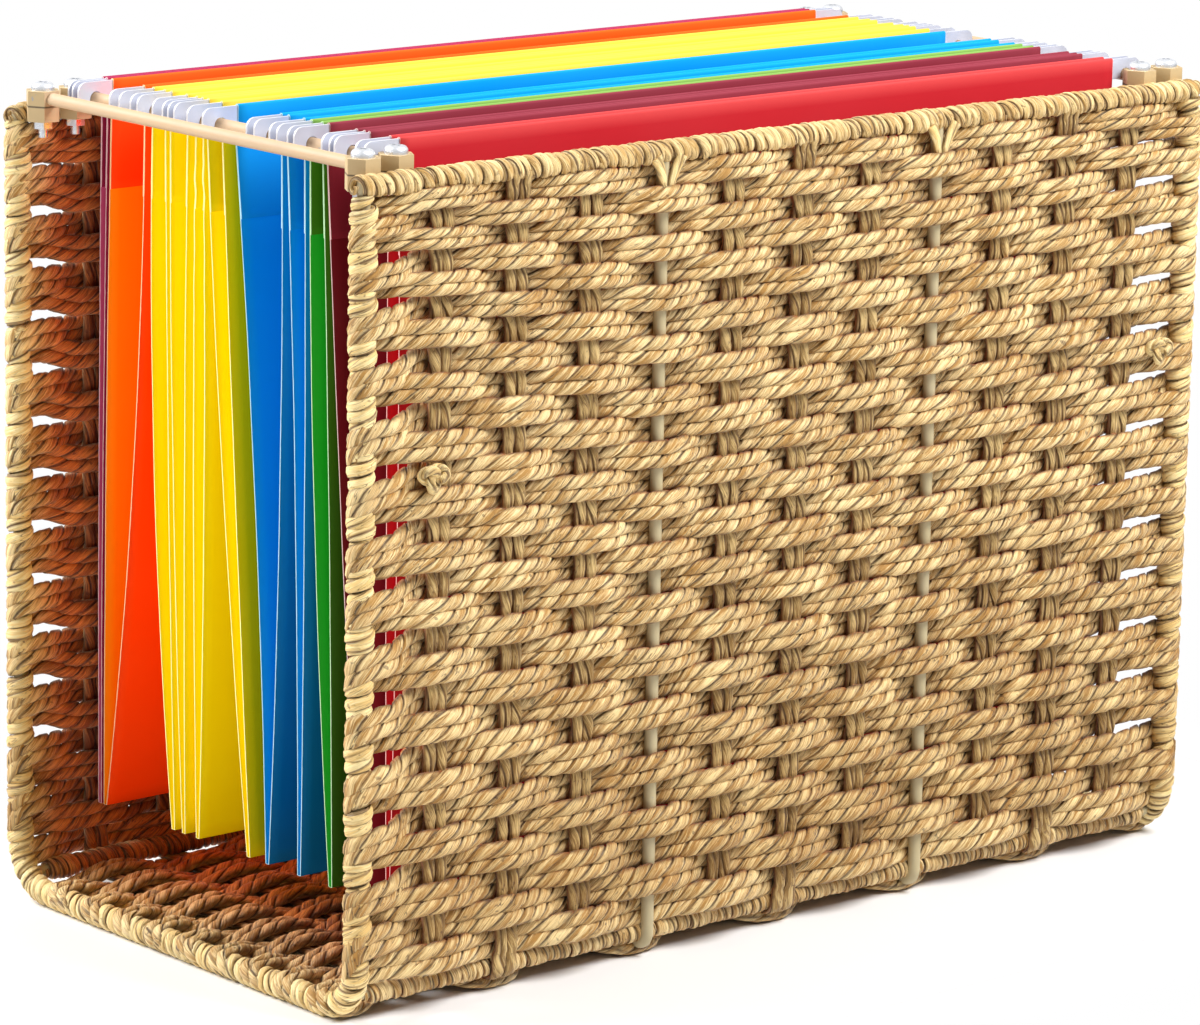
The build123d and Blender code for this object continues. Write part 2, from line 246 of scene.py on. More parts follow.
class RopeSettings(bpy.types.PropertyGroup):
    """Sizes and colours of the twisted rope in the walls and base."""
    half_thick: length_prop(
        "Half thickness", "Half of the rope's thickness through the wall", 2.0 * MM, 0.5 * MM)
    half_tall: length_prop(
        "Half height", "Half of the rope's height along the wall", 2.46 * MM, 0.5 * MM)
    spread: length_prop(
        "Pair spread", "Distance of each rope from the middle of its pair", 2.06 * MM)
    swing: length_prop(
        "Swing", "How far a row passes outside and inside the stakes", 3.2 * MM)
    tilt: length_prop(
        "Tilt", "How far the nearer side of a row lies above the farther side", 0.6 * MM,
        -2 * MM)
    lay: length_prop(
        "Lay", "Length of rope in which a strand makes one full turn", 15.0 * MM, 4 * MM)
    step: length_prop(
        "Step", "Distance between the rings of the rope's surface", 1.55 * MM, 0.5 * MM)
    lit: colour_prop(*LIT, (1.0, 0.77, 0.385))
    deep: colour_prop(*DEEP, (0.45, 0.232, 0.052))
    crease: colour_prop(*CREASE_SHADE, (0.045, 0.014, 0.002))


class WrapSettings(bpy.types.PropertyGroup):
    """Sizes and colours of the straw strand wound round the wires."""
    half_wide: length_prop(
        "Half width", "Half of the strand's width along the wire", 2.15 * MM, 0.5 * MM)
    half_thick: length_prop(
        "Half thickness", "Half of the strand's thickness", 1.1 * MM, 0.3 * MM)
    pitch: length_prop("Pitch", "Distance from one turn to the next", 3.9 * MM, 1 * MM)
    lay: length_prop(
        "Lay", "Length of strand in which it makes one full twist", 44 * MM, 4 * MM)
    lit: colour_prop(*LIT, (1.0, 0.83, 0.43))
    deep: colour_prop(*DEEP, (0.87, 0.59, 0.215))
    crease: colour_prop(*CREASE_SHADE, (0.13, 0.05, 0.012))


class RimSettings(bpy.types.PropertyGroup):
    """Colours of the straw round the rim rods."""
    lit: colour_prop(*LIT, (1.0, 0.77, 0.38))
    deep: colour_prop(*DEEP, (0.53, 0.31, 0.09))
    crease: colour_prop(*CREASE_SHADE, (0.09, 0.032, 0.007))


class StakeSettings(bpy.types.PropertyGroup):
    """Sizes and colours of the straw strands that stand in the walls."""
    half_wide: length_prop(
        "Half width", "Half of a strand's width along the wall", 2.25 * MM, 0.5 * MM)
    half_thick: length_prop(
        "Half thickness", "Half of a strand's thickness through the wall", 1.35 * MM, 0.3 * MM)
    spread: length_prop(
        "Spread", "Distance of each strand from the middle of its stake", 2.1 * MM)
    # The stake straw is darker than the rope's, partly as painted shade of the recesses where the
    # stakes stand
    lit: colour_prop(*LIT, (0.78, 0.56, 0.235))
    deep: colour_prop(*DEEP, (0.30, 0.165, 0.04))
    crease: colour_prop(*CREASE_SHADE, (0.10, 0.035, 0.006))


class CardSettings(bpy.types.PropertyGroup):
    """Sizes of the folded card of the hanging files, and the colour of its cut edges."""
    thickness: length_prop("Thickness", "Thickness of the card", 0.28 * MM, 0.1 * MM)
    lap: length_prop("Lap", "Height of the glued lap inside each leaf", 35 * MM)
    sleeve: length_prop(
        "Sleeve", "Height of the sleeve round each hanger strip", 10.9 * MM, 1 * MM)
    fold: length_prop("Fold", "Width of the fold at the foot of the card", 1.7 * MM, 0.2 * MM)
    flutter: length_prop(
        "Flutter", "How far the card waves between its hanger and its fold", 0.22 * MM)
    edge: colour_prop("Cut edge", "Colour of the card's cut edge", (1.0, 0.96, 0.86))


class FinishSettings(bpy.types.PropertyGroup):
    """Colours of the painted and plated metal."""
    wire: colour_prop("Wire paint", "Paint of the frame wires", (0.50, 0.41, 0.225))
    bar: colour_prop("Bar paint", "Paint of the bars and rails", (0.56, 0.375, 0.21))
    block: colour_prop("Block paint", "Paint of the blocks under the screws",
                       (0.52, 0.375, 0.19))
    plate: colour_prop("Hanger plate", "Coating of the hanger strips", (0.58, 0.61, 0.72))
    zinc: colour_prop("Zinc", "Plating of the screws and nuts", (0.80, 0.82, 0.86))


class StageSettings(bpy.types.PropertyGroup):
    """Camera, floor and light."""
    distance: length_prop(
        "Distance", "From the camera to the point that it looks at", 1.84014, 0.5)
    azimuth: bpy.props.FloatProperty(
        name="Azimuth", description="Turn of the view from straight along the Y axis",
        default=radians(40.963), subtype="ANGLE")
    elevation: bpy.props.FloatProperty(
        name="Elevation", description="How far the view looks down",
        default=radians(12.637), subtype="ANGLE")
    roll: bpy.props.FloatProperty(
        name="Roll", description="Turn of the picture about the view",
        default=radians(-1.0735), subtype="ANGLE")
    aim: bpy.props.FloatVectorProperty(
        name="Aim", description="Point that the camera looks at",
        default=(0.01271, 0.02016, 0.11346), size=3, subtype="TRANSLATION", unit="LENGTH")
    lens: bpy.props.FloatProperty(
        name="Lens", description="Focal length on a sensor 36 mm wide, in millimetres",
        default=167.79, min=10)
    floor: colour_prop("Floor", "Colour of the floor", (0.88, 0.88, 0.88))
    sky: bpy.props.FloatProperty(
        name="Sky", description="Strength of the even light from all round", default=0.14, min=0)
    key: power_prop("Key", "Power of the lamp on the left, above and behind", 45)
    front: power_prop("Front", "Power of the lamp above on the right, in front", 25.5)


def unit(vectors):
    """Vectors divided by their lengths."""
    return vectors / np.linalg.norm(vectors, axis=-1, keepdims=True)


def travel_along(path):
    """Distance from the start of each path to each of its points."""
    steps = np.linalg.norm(np.diff(path, axis=-2), axis=-1)
    start = np.zeros(path.shape[:-2] + (1,))
    return np.concatenate([start, np.cumsum(steps, axis=-1)], axis=-1)


def directions(path, up):
    """Across and rise at each point of a path: tangent x up, and across x tangent."""
    along = unit(np.gradient(path, axis=-2))
    across = unit(np.cross(along, up))
    return across, np.cross(across, along)


def ripple(travel, rng, *wavelengths):
    """Sum of sine waves of the given lengths, each with its own random start, within -1 and 1."""
    lanes = travel.shape[:-1] + (1,)
    waves = [np.sin(tau * (travel / wave + rng.random(lanes))) for wave in wavelengths]
    return sum(waves) / len(waves)


def smooth(value):
    """Step from 0 to 1 with level ends: 3v^2 - 2v^3 of the value kept within 0 and 1."""
    value = np.clip(value, 0.0, 1.0)
    return value * value * (3 - 2 * value)


def new_object(name, data):
    """New object in the scene."""
    thing = bpy.data.objects.new(name, data)
    bpy.context.scene.collection.objects.link(thing)
    return thing


def ring_mesh(name, points, along, around, fields, pair_caps=False):
    """Object of closed tubes. points[t, s, m] is point m of ring s of tube t.

    Quads join each ring to the next, so the surface is points as a function of distance along
    and place around. The ends are closed by one polygon each, or for the thin ring of a sheet
    by quads between opposite points. The sign of the enclosed volume turns faces outwards."""
    tubes, rings, sides = points.shape[:3]
    number = np.arange(tubes * rings * sides).reshape(tubes, rings, sides)
    after = np.roll(number, -1, axis=2)
    quads = np.stack([number[:, :-1], after[:, :-1], after[:, 1:], number[:, 1:]], -1)
    quads = quads.reshape(-1, 4)
    u = np.broadcast_to(along[:, :, None], number.shape)
    v = np.broadcast_to(around[:-1], number.shape)
    w = np.broadcast_to(around[1:], number.shape)
    corners_u = np.stack([u[:, :-1], u[:, :-1], u[:, 1:], u[:, 1:]], -1)
    corners_v = np.stack([v[:, :-1], w[:, :-1], w[:, 1:], v[:, 1:]], -1)
    quad_uv = np.stack([corners_u, corners_v], -1).reshape(-1, 4, 2)
    co = points.reshape(-1, 3)
    a, b, c, d = (co[quads[:, i]] for i in range(4))
    volume = np.einsum("ij,ij->", a, np.cross(b, c)) + np.einsum("ij,ij->", a, np.cross(c, d))
    if pair_caps:
        half = sides // 2
        out, back = number[:, :, :half], number[:, :, :half - 1:-1]
        caps = [np.stack([r[:, 1:], r[:, :-1], q[:, :-1], q[:, 1:]], -1)
                for r, q in ((out[:, 0], back[:, 0]), (back[:, -1], out[:, -1]))]
        caps = np.concatenate(caps).reshape(-1, 4)
    else:
        caps = np.concatenate([number[:, 0, ::-1], number[:, -1]])
    if volume < 0:
        quads, quad_uv, caps = quads[:, ::-1], quad_uv[:, ::-1], caps[:, ::-1]
    corner = np.concatenate([quads.ravel(), caps.ravel()]).astype(np.int32)
    sizes = np.concatenate([np.full(len(quads), 4), np.full(len(caps), caps.shape[1])])
    starts = np.concatenate([[0], np.cumsum(sizes)[:-1]]).astype(np.int32)
    is_cap = np.arange(len(sizes)) >= len(quads)
    mesh = bpy.data.meshes.new(name)
    mesh.vertices.add(len(co))
    mesh.vertices.foreach_set("co", co.astype(np.float32).ravel())
    mesh.loops.add(len(corner))
    mesh.loops.foreach_set("vertex_index", corner)
    mesh.polygons.add(len(sizes))
    mesh.polygons.foreach_set("loop_start", starts)
    mesh.polygons.foreach_set("use_smooth", ~is_cap)
    mesh.polygons.foreach_set("material_index", (is_cap & pair_caps).astype(np.int32))
    layer = mesh.uv_layers.new(name="strand")
    layer.data.foreach_set("uv", np.concatenate(
        [quad_uv.reshape(-1, 2), np.zeros((caps.size, 2))]).astype(np.float32).ravel())
    for field, values in fields.items():
        attribute = mesh.attributes.new(field, "FLOAT", "POINT")
        full = np.broadcast_to(values, number.shape).astype(np.float32)
        attribute.data.foreach_set("value", full.ravel())
    mesh.update(calc_edges=True)
    mesh.validate()
    return new_object(name, mesh)


def dress(thing, body, slot, *materials):
    """The piece rides on a body and wears its materials."""
    for material in materials:
        thing.data.materials.append(material)
    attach(thing, body)
    return thing


def twisted_rope(path, up, half_thick, half_tall, lay, rng, start=0.0):
    """Rope of two strands twisted together, along each path.

    A point is the path plus r(a) (thick cos(a + w) across + tall sin(a + w) rise), where w grows
    by a full turn in each lay and r(a) is the section with its two lobes, so the creases run
    round the rope as helices. The tint is one value for each strand, which drifts slowly."""
    travel = travel_along(path)
    across, rise = directions(path, up)
    lobe = np.array(ROPE_LOBE)
    angle = np.radians(np.concatenate([lobe[:, 0], lobe[:, 0] + 180]))
    radius = np.tile(lobe[:, 1], 2)
    crease = np.tile(lobe[:, 2], 2)
    twist = tau * travel / lay + 1.1 * ripple(travel, rng, 61 * MM, 37 * MM, 23 * MM) + start
    swell = 1 + 0.05 * ripple(travel, rng, 9.7 * MM, 17.3 * MM)
    turn = twist[..., None] + angle
    grain = 1 + 0.05 * ripple(np.moveaxis(np.broadcast_to(
        travel[..., None], turn.shape), -1, 0), rng, 4.3 * MM, 7.1 * MM).transpose(1, 2, 0)
    reach = (swell[..., None] * radius * grain)[..., None]
    thick = np.broadcast_to(half_thick, travel.shape)[..., None, None]
    tall = np.broadcast_to(half_tall, travel.shape)[..., None, None]
    points = (path[..., None, :]
              + reach * thick * np.cos(turn)[..., None] * across[..., None, :]
              + reach * tall * np.sin(turn)[..., None] * rise[..., None, :])
    strand = np.repeat([0.0, 1.0], len(lobe))
    tints = [0.5 + 0.5 * ripple(travel, rng, 83 * MM, 47 * MM) for _ in range(2)]
    tint = tints[0][..., None] * (1 - strand) + tints[1][..., None] * strand
    around = np.concatenate([angle, [tau]]) * 2 * MM
    # Painted shade where the rope touches its neighbours above and below, added to the crease
    # field
    between = 0.95 * smooth((np.abs(np.sin(turn)) - 0.80) / 0.20)
    return points, travel, around, {"tint": tint, "crease": np.maximum(crease, between)}


def inside_shade_weight(points, path):
    """How far each point of a rope faces into the basket: 0 outside, 1 inside.

    It is the step of the part of the point's offset from the rope's middle that points to the
    middle of the basket, across the walls or up from the base. It fades towards the open ends,
    where daylight reaches."""
    offset = unit(points - path[..., None, :])
    x, y = np.abs(path[..., 0])[..., None], path[..., 1][..., None]
    over_base = smooth((BASE_ROD_Y - 2 * MM - np.abs(y)) / (3 * MM))
    daylight = DAYLIGHT_WALL + (DAYLIGHT_BASE - DAYLIGHT_WALL) * over_base
    deep_in = smooth((POST_X + 3 * MM - x) / daylight)
    to_middle = -np.sign(y) * offset[..., 1]
    return deep_in * smooth(
        (to_middle * (1 - over_base) + offset[..., 2] * over_base + 0.35) / 0.8)


def wound_line(path, radius, pitch, rng):
    """Helix round a path, the path's direction at each of its points, and its place on the path.

    The line is the path plus radius (cos w side + sin w top), where w grows by a full turn in
    each pitch. The turns lie a little unevenly."""
    travel = travel_along(path)
    along = unit(np.gradient(path, axis=0))
    side = unit(np.cross(along, (0.31, 0.37, 0.88) if abs(along[0, 2]) < 0.5 else (1.0, 0, 0)))
    side = unit(np.cross(along, np.cross(side, along)))
    length = np.linspace(0, travel[-1], int(travel[-1] / pitch * 16))
    w = tau * length / pitch
    place = length + 0.2 * pitch * ripple(length, rng, 5.7 * pitch, 2.9 * pitch)
    place = np.clip(place, 0, travel[-1])

    def at(field):
        return np.stack([np.interp(place, travel, field[:, i]) for i in range(3)], -1)
    ahead, out = unit(at(along)), unit(at(side))
    reach = np.interp(place, travel, np.broadcast_to(radius, travel.shape))
    turned = np.cos(w)[:, None] * out + np.sin(w)[:, None] * np.cross(ahead, out)
    return at(path) + reach[:, None] * turned, ahead, place


def row_heights():
    """Heights of the rows of a wall, in even steps."""
    return WALL_LOW + (WALL_TOP - WALL_LOW) * (np.arange(WALL_ROWS) + 0.5) / WALL_ROWS


def drawn_front(x, z):
    """How far the front wall's rows are drawn up, more towards its left end."""
    share = (z - WALL_LOW) / (WALL_TOP - WALL_LOW)
    to_left = np.interp(x, (12 * MM - POST_X, -2 * STAKE_PITCH), (1.0, 0.0))
    to_right = np.interp(x, (2 * STAKE_PITCH, POST_X - 12 * MM), (0.0, 1.0))
    left, rest, right = (np.interp(share, DRAWN_AT, drawn) for drawn in DRAWN_FRONT)
    return (rest + (left - rest) * to_left + (right - rest) * to_right) * MM


def drawn_back(x, z):
    """How far the back wall's rows are drawn up or have sunk, the same all along the wall."""
    share = (z - WALL_LOW) / (WALL_TOP - WALL_LOW)
    return np.interp(share, DRAWN_AT, DRAWN_BACK) * MM


def serpentine(heights, swing, step, leans):
    """Middle line of a weft laid to and fro between the posts: columns are run, out and rise.

    Row i is out = swing cos(pi (run / pitch + i + 1)), so it passes outside a stake and inside
    the next, the other way round in the next row. At its end it goes half round the post, on a
    circle as wide as the swing. The rows that pass outside the posts lean to the row that they
    join, which leaves an eyelet beside the post on the other side."""
    count = int(2 * POST_X / step)
    last = len(heights) - 1
    runs = []
    rises = []
    for row, height in enumerate(heights):
        run = (1 if row % 2 else -1) * np.linspace(-POST_X, POST_X, count)
        rise = np.full(count, height)
        for end, (first, start, length, share) in zip((-1, 1), leans):
            partner = row + end
            if row >= first and (row % 2 or end < 0 and row == last) and partner <= last:
                lean = smooth((end * run - POST_X + start) / length)
                lean = lean * (TOP_LEAN if row >= last - 1 else 1.0)
                rise = rise + share * lean * (heights[partner] - height)
        runs.append(run)
        rises.append(rise)
    stretches = []
    turning = []
    for row, (run, rise) in enumerate(zip(runs, rises)):
        out = swing * np.cos(pi * (run / STAKE_PITCH + row + 1))
        stretches.append(np.stack([run, out, rise], -1))
        turning.append(smooth((np.abs(run) - POST_X + 7 * MM) / (6 * MM)))
        if row < last:
            turn = np.linspace(0, pi, int(pi * swing / step) + 2)[1:-1]
            climb = (1 - np.cos(turn)) / 2
            stretches.append(np.stack([
                run[-1] + np.sign(run[-1]) * swing * np.sin(turn), out[-1] * np.cos(turn),
                rise[-1] + (rises[row + 1][0] - rise[-1]) * climb], -1))
            turning.append(np.ones(len(turn)))
    return np.concatenate(stretches), np.concatenate(turning)


def weft_pair(side, heights, tilt, leans, place, up, seed):
    """The two ropes of a side's weft, one above the other, each a piece of its own.

    Where a row is outside the stakes it lies higher by the tilt, and inside as much lower."""
    rope = bpy.context.scene.basket_rope
    line, turning = serpentine(heights, rope.swing, rope.step, leans)
    rng = np.random.default_rng(seed)
    straw = straw_material("Seagrass rope", rope, 0.75)
    travel = travel_along(line)
    packed = np.linalg.norm(place(line + (0, 0, MM)) - place(line), axis=-1) / MM
    for sign, part in ((1, "upper"), (-1, "lower")):
        shifted = line.copy()
        shifted[:, 2] += sign * rope.spread + tilt * line[:, 1] / rope.swing * (1 - turning)
        shifted[:, 2] += 0.2 * MM * ripple(travel, rng, 71 * MM, 29 * MM)
        shifted[:, 1] += 0.28 * MM * ripple(travel, rng, 53 * MM, 31 * MM) * (1 - turning)
        path = place(shifted)
        thick = rope.half_thick * (1 - 0.36 * turning)
        points, along, around, fields = twisted_rope(
            path[None], up, thick, rope.half_tall * packed, rope.lay, rng,
            start=rng.random() * tau)
        fields["inward"] = inside_shade_weight(points, path[None])
        points[..., 2] = np.maximum(points[..., 2], ROPE_REST)
        piece = ring_mesh(f"{side}_weft_{part}", points, along, around, fields)
        dress(piece, BASKET, "seagrass_rope", straw)
        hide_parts(f"{side}_weave")


# Kinds of socket by the type of their default, and what every surface's group gives
SOCKETS = {type(None): "NodeSocketVector", tuple: "NodeSocketColor", float: "NodeSocketFloat"}
SURFACE = (("Color", "NodeSocketColor"), ("Height", "NodeSocketFloat"),
           ("Gloss", "NodeSocketFloat"))


def group(name, inputs, outputs):
    """New shader node group with its sockets, its input node and its output node."""
    tree = bpy.data.node_groups.new(name, "ShaderNodeTree")
    for label, default in inputs.items():
        socket = tree.interface.new_socket(
            name=label, in_out="INPUT", socket_type=SOCKETS[type(default)])
        if default is not None:
            socket.default_value = default
    for label, kind in outputs:
        tree.interface.new_socket(name=label, in_out="OUTPUT", socket_type=kind)
    return tree, tree.nodes.new("NodeGroupInput").outputs, tree.nodes.new("NodeGroupOutput").inputs


def node(tree, kind, inputs=None, **settings):
    """Add a node, set its properties, and link or set its inputs. Gives its outputs."""
    made = tree.nodes.new(kind)
    for key, value in settings.items():
        setattr(made, key, value)
    for key, value in (inputs or {}).items():
        if isinstance(value, bpy.types.NodeSocket):
            tree.links.new(value, made.inputs[key])
        else:
            made.inputs[key].default_value = value
    return made.outputs


def stretch(tree, vector, scale):
    """The vector times a scale, one factor for each axis."""
    return node(tree, "ShaderNodeVectorMath", {0: vector, 1: scale}, operation="MULTIPLY")[0]


def scaled(tree, vector, factor):
    """The vector or colour times one factor."""
    return node(tree, "ShaderNodeVectorMath", {0: vector, "Scale": factor},
                operation="SCALE")[0]


def noise(tree, vector, scale, detail, roughness=0.5, distortion=0.0):
    """Noise on a vector, with one scale or one for each axis."""
    if isinstance(scale, tuple):
        vector, scale = stretch(tree, vector, scale), 1.0
    return node(tree, "ShaderNodeTexNoise", {
        "Vector": vector, "Scale": scale, "Detail": detail, "Roughness": roughness,
        "Distortion": distortion})[0]


def reckon(tree, operation, first, second=0.5, clamp=False):
    """Math node on one or two values."""
    return node(tree, "ShaderNodeMath", {0: first, 1: second}, operation=operation,
                use_clamp=clamp)[0]


def link_all(tree, wanted, sources):
    """Link each source to the socket of its name."""
    for label, source in sources.items():
        tree.links.new(source, wanted[label])


def distance_from(tree, value, centre):
    """How far a value is from a centre, either way."""
    return reckon(tree, "ABSOLUTE", reckon(tree, "SUBTRACT", value, centre))


def blend_colour(tree, factor, first, second, mode="MIX"):
    """Mix node on colours."""
    return node(tree, "ShaderNodeMix", {0: factor, 6: first, 7: second},
                data_type="RGBA", blend_type=mode)[2]


def span(tree, value, low, high, start=0.0, end=1.0):
    """Map Range node: the value between low and high goes to start and end."""
    return node(tree, "ShaderNodeMapRange", {
        "Value": value, "From Min": low, "From Max": high, "To Min": start, "To Max": end})[0]


def axis_of(tree, vector, axis):
    """One axis of a vector."""
    return node(tree, "ShaderNodeSeparateXYZ", {0: vector})[axis]


def new_material(name, values):
    """New material, its node tree, its Principled shader set to the values, and coordinates."""
    material = bpy.data.materials.new(name)
    material.use_nodes = True
    tree = material.node_tree
    shader = tree.nodes["Principled BSDF"]
    for label, value in values.items():
        shader.inputs[label].default_value = value
    return material, tree, shader, node(tree, "ShaderNodeTexCoord")


def cover(tree, shader, colour, gloss, height, strength, distance):
    """Feed a surface's colour, roughness and relief into its shader."""
    relief = node(tree, "ShaderNodeBump", {
        "Strength": strength, "Distance": distance, "Height": height})[0]
    link_all(tree, shader.inputs, {"Base Color": colour, "Roughness": gloss, "Normal": relief})


def straw_group():
    """Straw fibre: streaks and thin dark folds along the strand, slow blotches, dark specks and
    creases, a duller tone low in the walls, and a redder, deeper one on the side that faces
    into the basket."""
    if "Straw fibre" in bpy.data.node_groups:
        return bpy.data.node_groups["Straw fibre"]
    tree, given, wanted = group("Straw fibre", {
        "Strand": None, "Place": None, "Tint": 0.5, "Crease": 0.0, "Inside shade": 0.0,
        "Lit": (0.8, 0.6, 0.3, 1), "Deep": (0.4, 0.2, 0.06, 1), "Shade": (0.1, 0.03, 0.01, 1),
        "Indoor shade": (0.87, 0.30, 0.10, 1)}, SURFACE)
    fine = noise(tree, given["Strand"], (210, 2300, 1), 3.0, 0.62, 0.5)
    broad = noise(tree, given["Strand"], (75, 560, 1), 2.0, 0.5, 0.9)
    folds = noise(tree, given["Strand"], (95, 780, 1), 1.0, 0.5, 0.6)
    blotch = noise(tree, given["Place"], 42.0, 2.0, 0.55)
    spot = noise(tree, given["Place"], 420.0, 1.0)
    streaks = reckon(tree, "ADD", fine, broad)
    light = reckon(tree, "ADD", span(tree, streaks, 0.84, 1.16),
                   span(tree, given["Tint"], 0, 1, -0.22, 0.22), clamp=True)
    colour = blend_colour(tree, light, given["Deep"], given["Lit"])
    warm = blend_colour(tree, span(tree, blotch, 0.42, 0.66, 0.0, 0.55), colour,
                        blend_colour(tree, 0.62, colour, given["Deep"]))
    specks = blend_colour(tree, span(tree, spot, 0.70, 0.76, 0.0, 0.55), warm, given["Shade"])
    # Painted shade in the creases and where ropes touch
    crease_shade = reckon(tree, "MULTIPLY", reckon(tree, "POWER", given["Crease"], 1.3),
                   span(tree, broad, 0.36, 0.52, 0.45, 1.0))
    fold = reckon(tree, "MULTIPLY",
                  span(tree, distance_from(tree, folds, 0.5), 0.0, 0.022, 1.0, 0.0),
                  span(tree, blotch, 0.40, 0.56, 0.25, 0.9))
    shade = reckon(tree, "MAXIMUM", crease_shade, fold)
    straw = blend_colour(tree, span(tree, shade, 0, 1, 0, 0.97), specks, given["Shade"])
    # Painted shade: the straw is darker low in the walls
    height = axis_of(tree, given["Place"], "Z")
    low_wall_shade = reckon(tree, "MULTIPLY", span(tree, height, *LOW_FADES, 1.0, 0.0),
                      span(tree, height, *LOW_STARTS))
    straw = blend_colour(tree, low_wall_shade, straw,
                         blend_colour(tree, 1.0, straw, LOW_WALL_SHADE, "MULTIPLY"))
    # Painted shade: the side that faces into the basket is multiplied by the indoor shade colour
    indoor_shaded = blend_colour(tree, 1.0, straw, given["Indoor shade"], "MULTIPLY")
    link_all(tree, wanted, {
        "Color": blend_colour(tree, given["Inside shade"], straw, indoor_shaded),
        "Height": reckon(tree, "SUBTRACT", streaks, span(tree, fold, 0, 1, 0.0, 0.45)),
        "Gloss": span(tree, streaks, 0.7, 1.3, 0.66, 0.42)})
    return tree


def straw_material(name, settings, bump=0.8):
    """Straw with its own colours: fibre colour, roughness and relief from the shared group."""
    if name in bpy.data.materials:
        return bpy.data.materials[name]
    material, tree, shader, coords = new_material(name, {
        "Specular IOR Level": 0.35, "Sheen Weight": 0.12, "Sheen Roughness": 0.45})
    given = {"Strand": node(tree, "ShaderNodeUVMap", uv_map="strand")[0],
             "Place": coords["Object"],
             "Lit": (*settings.lit, 1), "Deep": (*settings.deep, 1),
             "Shade": (*settings.crease, 1)}
    for label, field in (("Tint", "tint"), ("Crease", "crease"), ("Inside shade", "inward")):
        given[label] = node(tree, "ShaderNodeAttribute", attribute_name=field)["Fac"]
    fibre = node(tree, "ShaderNodeGroup", given, node_tree=straw_group())
    cover(tree, shader, fibre["Color"], fibre["Gloss"], fibre["Height"], bump, 0.5 * MM)
    return material


def paint_group():
    """Paint: slight change of shade, orange peel, small chips that show the metal, blocks in
    another colour, and a dark seam."""
    if "Paint film" in bpy.data.node_groups:
        return bpy.data.node_groups["Paint film"]
    tree, given, wanted = group("Paint film", {
        "Place": None, "Paint": (0.7, 0.5, 0.3, 1), "Metal": (0.35, 0.33, 0.30, 1),
        "Block": (0.4, 0.3, 0.2, 1), "Block start": 1.0, "Seam": -1.0}, SURFACE)
    cloud = noise(tree, given["Place"], 60.0, 3.0)
    peel = noise(tree, given["Place"], 900.0, 1.0)
    chips = span(tree, noise(tree, given["Place"], 230.0, 2.0), 0.74, 0.76)
    darker = blend_colour(tree, 0.18, given["Paint"], given["Metal"])
    colour = blend_colour(tree, span(tree, cloud, 0.35, 0.7), given["Paint"], darker)
    reach = reckon(tree, "ABSOLUTE", axis_of(tree, given["Place"], "Y"))
    on_block = reckon(tree, "GREATER_THAN", reach, given["Block start"])
    colour = blend_colour(tree, on_block, colour, given["Block"])
    from_seam = distance_from(tree, axis_of(tree, given["Place"], "Z"), given["Seam"])
    grime = span(tree, from_seam, 0.12 * MM, 0.4 * MM, 0.85, 0.0)
    colour = blend_colour(tree, grime, colour, SEAM_COLOUR)
    link_all(tree, wanted, {
        "Color": blend_colour(tree, chips, colour, given["Metal"]),
        "Height": reckon(tree, "SUBTRACT", peel, span(tree, chips, 0, 1, 0, 1.5)),
        "Gloss": span(tree, cloud, 0.3, 0.7, 0.46, 0.6)})
    return tree


def painted(name, colour, block=None):
    """Painted metal of one colour, or with its end blocks in another and the seam under them."""
    material, tree, shader, coords = new_material(name, {})
    given = {"Place": coords["Object"], "Paint": (*colour, 1)}
    if block:
        given.update({"Block": (*block, 1), "Block start": BLOCK_TOP.y - BLOCK,
                      "Seam": BLOCK_TOP.z})
    film = node(tree, "ShaderNodeGroup", given, node_tree=paint_group())
    cover(tree, shader, film["Color"], film["Gloss"], film["Height"], 0.25, 0.1 * MM)
    return material


def cloudy(tree, cloud, colour, share):
    """The colour, dulled in patches down to a share of it."""
    dull = tuple(share * value for value in colour)
    return blend_colour(tree, span(tree, cloud, 0.35, 0.65), (*dull, 1), (*colour, 1))


def hanger_material(colour):
    """Coated strip: cool grey on its faces, bright along its cut edges, fine rolling marks."""
    material, tree, shader, coords = new_material("Hanger plate", {"Metallic": 0.15})
    broad = reckon(tree, "ABSOLUTE", axis_of(tree, coords["Normal"], "Y"))
    rolled = noise(tree, coords["Object"], (60, 1, 900), 2.0)
    cloud = noise(tree, coords["Object"], 55.0, 2.0)
    coat = blend_colour(tree, span(tree, broad, 0.55, 0.75), STRIP_EDGE,
                        cloudy(tree, cloud, colour, 0.82))
    cover(tree, shader, coat, span(tree, rolled, 0.3, 0.7, 0.34, 0.5), rolled, 0.12, 0.05 * MM)
    return material


def zinc_material(colour):
    """Bright zinc plating with cloudy patches and fine turning marks."""
    material, tree, shader, coords = new_material("Zinc plating", {"Metallic": 0.85})
    cloud = noise(tree, coords["Object"], 500.0, 3.0)
    marks = noise(tree, coords["Object"], (200, 200, 4000), 1.0)
    cover(tree, shader, cloudy(tree, cloud, colour, 0.72),
          span(tree, cloud, 0.3, 0.7, 0.42, 0.22), marks, 0.2, 0.04 * MM)
    return material


